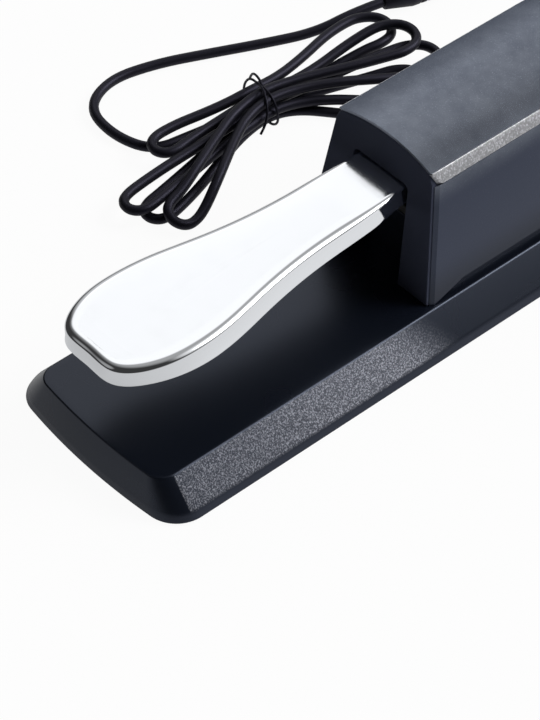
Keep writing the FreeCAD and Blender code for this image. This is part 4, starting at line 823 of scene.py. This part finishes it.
def make_plug(jacket, metal, insulator):
    """The plug: tapered grip with grooves, collar and sleeve, insulating ring and tip."""
    grip = [(0.0, 0.0), (0.0, 3.0), (12.0, 5.4)]
    for start in 15.0 + 3.2 * np.arange(5):
        grip += [(start, 5.4), (start, 4.9), (start + 1.2, 4.9), (start + 1.2, 5.4)]
    grip += [(34.0, 5.4), (34.0, 2.6), (31.0, 2.6), (31.0, 0.0)]
    sleeve = [(31.1, 0.0), (31.1, 2.5), (34.05, 2.5), (34.05, 4.4), (35.2, 4.4), (35.2, 3.175), (56.0, 3.175),
              (56.0, 0.0)]
    ring = [(56.0, 0.0), (56.0, 2.775), (57.2, 2.775), (57.2, 0.0)]
    tip = [(57.2, 0.0), (57.2, 3.0), (58.0, 2.9), (59.4, 1.95), (60.2, 2.15), (61.36, 3.02), (62.2, 2.7),
           (64.3, 1.2), (64.5, 0.0)]
    made = []
    for name, profile, reach, material, slot, node in (
            ("plug_boot", grip, 0.25, jacket, "cord_black", "plug_grip"),
            ("plug_barrel", sleeve, 0.2, metal, "plug_metal", "plug_sleeve"),
            ("plug_ring", ring, 0.08, insulator, "switch_plastic", "plug_insulator"),
            ("plug_point", tip, 0.5, metal, "plug_metal", "plug_tip")):
        form = round_body(rounded(profile, reach, 4), PLUG_END, PLUG_ALONG)
        made.append(piece(name, form, material, (node,), 50.0))
    return made


def make_inner_leads(material):
    """The lead's end inside the housing, and its two cores up to the switch's terminals."""
    y = INNER_END
    reach = HOUSING_REAR - 2.3 - y
    end = rounded([(0.0, 0.0), (0.0, 1.98), (reach, 1.98), (reach, 0.0)], 0.3, 5)
    forms = [round_body(end, (0.0, y, EXIT_Z), (0.0, 1.0, 0.0), 32)]
    for side, terminal in ((-1, 90.0), (1, 83.0)):
        x = side * 0.9
        path = rounded([(side, y + 1.0, EXIT_Z), (side, y - 3.5, EXIT_Z - 0.6), (x, terminal + 2.5, 27.4),
                        (x, terminal, 27.8), (x, terminal, 31.6)], 1.6, 9)
        forms.append(tube(path, 0.6, 14))
    return piece("inner_leads", joined(*forms), material, ("switch_leads",), 60.0)


def make_tie(material):
    """The twisted wire tie: a band round the strands, and two ends that cross and lie down over the band.

    A point of it is a distance across the hank, a height and a distance along the hank from its middle.
    """
    heading = hank_heading(0.0)
    cosine, sine = math.cos(heading), math.sin(heading)
    axes = np.array([(sine, -cosine, 0.0), (0.0, 0.0, 1.0), (cosine, sine, 0.0)])
    base = hank_place([(0.0, -0.5 * STRAND_STEP, 0.0)])[0] * (1.0, 1.0, 0.0)
    half = 1.5 * STRAND_STEP + LEAD_RADIUS + 1.0
    high = layer(2) + TIE_LIFT + LEAD_RADIUS + 0.75
    side = [(0.8, high + 0.2, 0.2), (half * 0.6, high - 0.6, 0.0), (half, high * 0.62, 0.0),
            (half - 0.2, 3.6, 0.0), (half - 3.2, 1.15, 0.0)]
    band = side + [(0.0, 0.95, 0.0)] + [(-t, z, -s) for t, z, s in side[::-1]]
    first = [(-0.8, high + 0.2, -0.2), (0.9, high + 0.8, -0.7), (4.8, high + 0.5, -2.0),
             (9.0, high - 2.2, -4.0), (11.4, high - 7.0, -6.5), (12.0, high - 11.0, -9.5)]
    second = [(0.8, high + 0.2, 0.2), (-0.9, high + 0.9, 0.7), (-4.8, high + 0.8, 1.8),
              (-9.0, high - 1.6, 3.0), (-11.6, high - 6.0, 3.6)]
    forms = [tube(spline(base + np.array(points) @ axes, count), TIE_RADIUS, 10)
             for points, count in ((band, 90), (first, 40), (second, 40))]
    return piece("twist_tie", joined(*forms), material, ("wire_tie",), 60.0)


# The base

def base_rings(rows):
    """Plan outlines of the base, one for each row of height, side inset, toe inset and corner radius.

    Each half outline runs from the middle of the toe: an arc of the bow radius, a tangent corner arc, the
    straight side, the heel's corner arc and the straight heel; the other half is its mirror image.
    """
    z, side_in, toe_in, corner = np.asarray(rows, float).T[..., None]
    half = BASE_HALF - side_in
    heel = HEEL_Y - toe_in
    bow = TOE_Y + toe_in + BOW_RADIUS
    corner_y = bow - np.sqrt((BOW_RADIUS - corner) ** 2 - (half - corner) ** 2)
    end = np.arcsin((half - corner) / (BOW_RADIUS - corner))
    bow_share, *shares = (np.linspace(0.0, 1.0, count)[None, :] for count in (25, 17, 41, 13, 9))
    corner_share, side_share, heel_share, back_share = (share[:, 1:] for share in shares)
    turn = end + (math.pi / 2 - end) * corner_share
    heel_turn = math.pi / 2 * heel_share
    runs = [(BOW_RADIUS * np.sin(end * bow_share), bow - BOW_RADIUS * np.cos(end * bow_share)),
            (half - corner + corner * np.sin(turn), corner_y - corner * np.cos(turn)),
            (half + 0 * side_share, corner_y + (heel - corner - corner_y) * side_share),
            (half - corner + corner * np.cos(heel_turn), heel - corner + corner * np.sin(heel_turn)),
            ((half - corner) * (1 - back_share), heel + 0 * back_share)]
    x, y = (np.hstack(run) for run in zip(*runs))
    x = np.hstack([x, -x[:, -2:0:-1]])
    y = np.hstack([y, y[:, -2:0:-1]])
    return np.stack([x, y, np.broadcast_to(z, x.shape)], axis=-1)


def base_form(edge):
    """The base's shell as rings up its wall: hollow foot, rim, flank, rounded deck edge and deck."""
    hollow = [(3.4, 3.4, 2.6, 10.6), (1.6, 2.4, 2.4, 10.6)]
    wall = [(1.0, 2.3, 2.3, 10.7), (1.0, 0.0, 0.0, 13.0), (4.2, 1.75, 0.5, 13.0), (DECK, 10.8, 4.1, 7.0),
            (DECK, 14.0, 7.3, 4.6), (DECK, 20.0, 20.0, 3.0)]
    return capped(base_rings(np.vstack([hollow, rounded(wall, edge, 6)])))


def foot_half(z):
    return CHAMFER_LOW[0] + DRAFT * (CHAMFER_LOW[1] - z)


def upstand_form():
    """The thin wall inside the housing's wall, carried from the right front round the rear to the left front.

    Its section is a thin rounded strip swept along the housing's inner outline, leaning in with the draft.
    Each run of the outline has rows of x, y and the outward direction's x and y.
    """
    r = UPSTAND_CORNER
    half = foot_half(DECK) - UPSTAND_INSET
    rear = HOUSING_REAR - UPSTAND_INSET
    side = np.linspace(UPSTAND_START, rear - r, 30)
    turn = np.linspace(0.0, math.pi / 2, 8)[1:]
    back = np.linspace(half - r, 0.0, 12)[1:-1]
    right = np.hstack([(half + 0 * side, side, 1 + 0 * side, 0 * side),
                       (half - r + r * np.cos(turn), rear - r + r * np.sin(turn), np.cos(turn), np.sin(turn)),
                       (back, rear + 0 * back, 0 * back, 1 + 0 * back)])
    x, y, nx, ny = np.hstack([right, right[:, ::-1] * np.array([[-1.0], [1.0], [-1.0], [1.0]])])
    section = rounded([(0.0, 0.0), (0.0, 1.0), (-UPSTAND_WALL, 1.0), (-UPSTAND_WALL, 0.0)], 0.15, 4)
    points = []
    for inward, share in section:
        z = UPSTAND_FOOT + (UPSTAND_TOP - UPSTAND_FOOT) * share
        points.append(np.stack([x + nx * (inward - DRAFT * (z - DECK)), y + ny * inward, z + 0 * x], axis=-1))
    return capped(np.stack(points, axis=1))


def make_base(material, sizes):
    """The base with its upstand, and the post that carries the lever's lower stop."""
    top = corners("down_stop_rubber")[0][2] / MM
    post = rounded_block((-12.0, 17.0, DECK - 0.4), (12.0, 25.0, top), 0.4, 1.0)
    form = joined(base_form(sizes.deck_edge / MM), upstand_form(), post)
    return piece("moulded_base", form, material, ("base_case",), 30.0)


# Trim strips

def strip_form():
    """A shallow crowned bar on the housing's right chamfer, cut along the leaning front.

    Across it a point goes from the lower edge to the upper by u; along it by v from the cut front, set
    back at the lower corner by a quarter round, to the plain rear end.
    """
    low, high = np.array([CHAMFER_LOW, CHAMFER_HIGH])
    along = unit(high - low)
    out = np.array([along[1], -along[0]])
    middle = (low + high) / 2
    section = rounded([(-1.0, -1.2), (-1.0, 0.2), (1.0, 0.2), (1.0, -1.2)], 0.14, 6)
    top = section[:, 1] > -0.3
    lift = section[:, 1] + 0.10 * np.where(top, 1 - section[:, 0] ** 2, 0.0)
    v = np.concatenate([[0.0, 0.0015, 0.004, 0.008], np.linspace(0.03, 0.97, 20), [0.996, 1.0]])
    width = STRIP_HALVES[0] + (STRIP_HALVES[1] - STRIP_HALVES[0]) * v
    shift = np.array([0.5, 0.22, 0.06, 0.0] + [0.0] * 20 + [0.08, 0.35])
    u = section[:, :1] * (width - shift * 0.6)
    w = lift[:, None] - shift * 0.5 * top[:, None]
    x, z = (middle[axis] + along[axis] * u + out[axis] * w for axis in (0, 1))
    reach = np.clip((-section[:, :1] * STRIP_HALVES[0] - 1.05) / 1.4, 0.0, 1.0)
    front = HOUSING_FRONT + FRONT_LEAN * (z[:, :1] - DECK) + 0.15 + 1.5 * (1 - np.sqrt(1 - reach ** 2))
    cut = foot_half(z[:, :1]) - 1.5
    front = front + np.maximum(0.0, (x[:, :1] - cut) * 1.8 + 0.25)
    y = front + (STRIP_REAR - front) * v
    return capped(np.stack([x, y, z], axis=-1).transpose(1, 0, 2))


# The lever

def lever_side():
    """The right side of the lever in plan, from its tail to its tip.

    The flare's pairs are shares of the paddle's extra half width and of the length from tip to neck. The
    spline runs on round the left side, so the tip has no corner, and its first half is kept.
    """
    flare = np.array([(0.106, 0.854), (0.185, 0.690), (0.521, 0.467), (0.856, 0.316), (0.935, 0.220),
                      (0.715, 0.0895), (0.0, 0.0065)])
    length = NECK_FRONT - LEVER_TIP
    paddle = np.stack([NECK_HALF + (PADDLE_HALF - NECK_HALF) * flare[:, 0], LEVER_TIP + length * flare[:, 1]],
                      axis=-1)
    right = np.vstack([[(NECK_HALF, NECK_FRONT + 12.0), (NECK_HALF, NECK_FRONT)], paddle])
    side = spline(np.vstack([right, [(0.0, LEVER_TIP)], right[::-1] * np.array([-1.0, 1.0])]), 601)[:301]
    side[-1, 0] = 0.0
    straight = np.linspace(LEVER_TAIL - 1.0, NECK_FRONT + 12.5, 24)
    neck = np.stack([NECK_HALF + 0 * straight, straight], axis=-1)
    tail = np.array([(0.0, LEVER_TAIL), (5.0, LEVER_TAIL), (NECK_HALF - 1.0, LEVER_TAIL),
                     (NECK_HALF - 0.3, LEVER_TAIL - 0.3)])
    return np.vstack([tail, neck, side])


def lever_height(y, heights):
    """A level along the lever: even behind the neck, then a parabola through its middle to its tip."""
    at = (NECK_FRONT, (NECK_FRONT + LEVER_TIP) / 2, LEVER_TIP - 1.0)
    return np.where(y > NECK_FRONT, heights[0], np.polyval(np.polyfit(at, heights, 2), y))


def lever_form(edge, crown):
    """The pressed lever: rings from inside the hollow, round its lip, up its side and over its upper edge.

    Each ring is the plan outline drawn in square to itself, over the lever's foot or under its top. In front
    of the mouth the top drops by NECK_RISE * run * (1.5 - 0.5 * run ** 2), and the edge is a quarter of an
    ellipse. Straight rows join the last ring's sides, raised by a low parabola. The last array is 1 in the
    hollow and -1 on the top.
    """
    side = lever_side()
    loop = np.vstack([side, side[-2:0:-1] * np.array([-1.0, 1.0])])
    tangent = unit(np.roll(loop, -1, axis=0) - np.roll(loop, 1, axis=0))
    inward = np.stack([tangent[:, 1], -tangent[:, 0]], axis=-1)
    y = loop[:, 1]
    run = np.clip((NECK_FRONT - y) / 11.0, 0.0, 1.0)
    top = lever_height(y, LEVER_TOPS) - NECK_RISE * run * (1.5 - 0.5 * run ** 2)
    foot = lever_height(y, LEVER_FEET)
    deep = edge * (0.45 + 0.55 * smooth((NECK_FRONT - y) / 34.0))
    lip = [(1.6, 0.9), (1.55, 0.4), (1.3, 0.1), (0.9, 0.0), (0.4, 0.0), (0.1, 0.03), (-0.1, 0.12), (-0.2, 0.3),
           (-0.14, 0.55), (0.0, 0.9)]
    lean = (LEVER_LEAN * smooth((y + 112.0) / 30.0) * np.clip((26.0 - y) / 30.0, 0.0, 1.0))[:, None]
    rings = [(loop + inward * 1.8, top - 2.6)]
    rings += [(loop + inward * (inset - lean), foot + rise) for inset, rise in lip]
    rings += [(loop + inward * (2.0 * deep * (1 - math.cos(turn)))[:, None], top - deep * (1 - math.sin(turn)))
              for turn in np.linspace(0.0, math.pi / 2, 16)]
    rings = np.stack([np.hstack([plan, z[:, None]]) for plan, z in rings])
    columns = len(loop)
    half = len(side)
    left_index = (columns - np.arange(half)) % columns
    across = np.linspace(0.0, 1.0, 13)
    sheets = []
    for ring in (rings[-1], rings[0]):
        right, left = ring[:half, None, :], ring[left_index, None, :]
        sheets.append(right + (left - right) * across[None, :, None])
    bow = 1 - (2 * across - 1) ** 2
    sheets[0][..., 2] += crown * bow[None, :] * smooth((rings[-1][:half, 1:2] - rings[-1][half - 1, 1]) / 30.0)
    sheets[1][..., 2] += 0.8 * (1 - np.abs(2 * across - 1) ** 6)[None, :]
    faces = grid_faces(len(rings), columns)
    start = len(rings) * columns
    sheet_size = half * len(across)
    for number in range(len(sheets)):
        faces += grid_faces(half, len(across), wrap=False, start=start + number * sheet_size)
    points = np.vstack([rings.reshape(-1, 3)] + [sheet.reshape(-1, 3) for sheet in sheets])
    tone = np.zeros(len(points))
    tone[:3 * columns] = 1.0
    tone[-sheet_size:] = 1.0
    tone[start:-sheet_size] = np.tile(np.where((across > 0.01) & (across < 0.99), -1.0, 0.0), half)
    return points, faces, tone


def ear_form():
    """One side plate at the pivot: a ring from the bush hole to a round foot and a straight top."""
    angle = np.linspace(0.0, 2 * math.pi, EAR_POINTS, endpoint=False)
    y = EAR_REACH * np.cos(angle)
    z = EAR_REACH * np.sin(angle)
    stretch = np.minimum(EAR_RISE / np.maximum(z, 1e-6), EAR_REACH / np.maximum(np.abs(y), 1e-6))
    stretch = np.where(z > 0, stretch, 1.0)
    rim = (y * stretch, z * stretch)
    hole = (EAR_HOLE * np.cos(angle), np.minimum(EAR_HOLE * np.sin(angle), EAR_RISE - 0.2))
    inner, outer = EAR_PLATE
    rings = [np.stack([x + 0 * angle, PIVOT[0] + line[0], PIVOT[1] + line[1]], axis=-1)
             for x, line in ((inner, hole), (inner, rim), (outer, rim), (outer, hole), (inner, hole))]
    return np.vstack(rings), grid_faces(len(rings), EAR_POINTS)


# Operators

class PedalStage(bpy.types.Operator):
    """Makes the camera, the bright room and the floor."""
    bl_idname = "pedal.stage"
    bl_label = "Stage"

    def execute(self, context):
        context.scene.view_settings.view_transform = "Standard"
        make_camera()
        make_world()
        make_floor()
        return {"FINISHED"}


class PedalLead(bpy.types.Operator):
    """Makes the tied lead with its strain relief, its tie and its plug."""
    bl_idname = "pedal.lead"
    bl_label = "Lead and plug"

    def execute(self, context):
        sizes = context.scene.pedal_sizes
        jacket = lead_finish(context.scene.pedal_colours)
        relief = make_relief(jacket)
        plug = make_plug(jacket, nickel_finish(), switch_finish())
        tie = make_tie(jacket)
        lead = make_lead(jacket, sizes)
        return {"FINISHED"}


class PedalBase(bpy.types.Operator):
    """Makes the moulded base with its upstand and stop post, and its sole."""
    bl_idname = "pedal.base"
    bl_label = "Base"

    def execute(self, context):
        sizes = context.scene.pedal_sizes
        make_base(case_finish(context.scene.pedal_colours), sizes)
        dressed("grooved_sole", "rubber_sole", rubber_finish("sole rubber", (0.018, 0.018, 0.019)),
                0.0003)
        return {"FINISHED"}


class PedalHousing(bpy.types.Operator):
    """Makes the housing cover, the front bezel and the two trim strips."""
    bl_idname = "pedal.housing"
    bl_label = "Housing"

    def execute(self, context):
        sizes = context.scene.pedal_sizes
        colours = context.scene.pedal_colours
        dressed("speckled_cover", "housing_cover", housing_finish(colours),
                sizes.housing_edge)
        dressed("mouth_bezel", "front_bezel", bezel_finish(), sizes.housing_edge)
        flake = strip_finish(colours)
        right = strip_form()
        piece("strip_right", right, flake, ("trim_strip_right",), 50.0)
        piece("strip_left", mirrored(right), flake, ("trim_strip_left",), 50.0)
        return {"FINISHED"}


class PedalLever(bpy.types.Operator):
    """Makes the plated lever with its hollow underside and its pivot ears."""
    bl_idname = "pedal.lever"
    bl_label = "Lever"

    def execute(self, context):
        sizes = context.scene.pedal_sizes
        points, faces, tone = lever_form(sizes.lever_edge / MM, sizes.lever_crown / MM)
        ear = ear_form()
        # the ears take the hollow's painted shade
        tone = np.concatenate([tone, np.ones(2 * len(ear[0]))])
        piece("plated_lever", joined((points, faces), ear, mirrored(ear)),
              lever_finish(context.scene.pedal_colours), ("pedal_lever",), 40.0, "lever", tone)
        return {"FINISHED"}


class PedalInside(bpy.types.Operator):
    """Makes the spring, soft stops and inner leads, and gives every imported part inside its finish."""
    bl_idname = "pedal.inside"
    bl_label = "Mechanism"

    def execute(self, context):
        zinc = zinc_finish()
        finishes = {"zinc_steel": zinc, "nylon": nylon_finish(), "switch_plastic": switch_finish()}
        slots = {row["node"]: row["material_slot"] for row in frame["record"]["subparts"]}
        for name, item in frame["nodes"].items():
            if slots[name] in finishes:
                item.data.materials.clear()
                item.data.materials.append(finishes[slots[name]])
        coil = dressed("return_coil", "return_spring", zinc, 0.0, 50.0)
        low, high = corners("return_spring")
        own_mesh(coil)
        make_inner_leads(lead_finish(context.scene.pedal_colours))
        stop_rubber = rubber_finish("stop rubber", (0.02, 0.02, 0.021), 0.6)
        for name, node, edge, material, slot in (
                ("stop_pad", "down_stop_rubber", 0.7, stop_rubber, "rubber"),
                ("rest_pad", "rest_stop_felt", 0.5, felt_finish(), "felt")):
            low, high = (corner / MM for corner in corners(node))
            piece(name, rounded_block(low, high, edge, 1.0), material, (node,), 60.0)
        return {"FINISHED"}


class PedalPanel(bpy.types.Panel):
    """Lists the pedal's sizes, colours and pieces."""
    bl_idname = "VIEW3D_PT_pedal"
    bl_label = "Pedal"
    bl_space_type = "VIEW_3D"
    bl_region_type = "UI"
    bl_category = "Pedal"

    def draw(self, context):
        for group in (context.scene.pedal_sizes, context.scene.pedal_colours):
            for name in group.__annotations__:
                self.layout.prop(group, name)
        for operator in OPERATORS:
            self.layout.operator(operator.bl_idname)


OPERATORS = (PedalStage, PedalLead, PedalBase, PedalHousing, PedalLever, PedalInside)
CLASSES = (PedalSizes, PedalColours, *OPERATORS, PedalPanel)


def register():
    for item in CLASSES:
        bpy.utils.register_class(item)
    bpy.types.Scene.pedal_sizes = bpy.props.PointerProperty(type=PedalSizes)
    bpy.types.Scene.pedal_colours = bpy.props.PointerProperty(type=PedalColours)


def unregister():
    del bpy.types.Scene.pedal_colours
    del bpy.types.Scene.pedal_sizes
    for item in reversed(CLASSES):
        bpy.utils.unregister_class(item)


def main():
    register()
    bpy.ops.pedal.stage()
    bpy.ops.pedal.lead()
    bpy.ops.pedal.base()
    bpy.ops.pedal.housing()
    bpy.ops.pedal.lever()
    bpy.ops.pedal.inside()


if __name__ == "__main__":
    main()
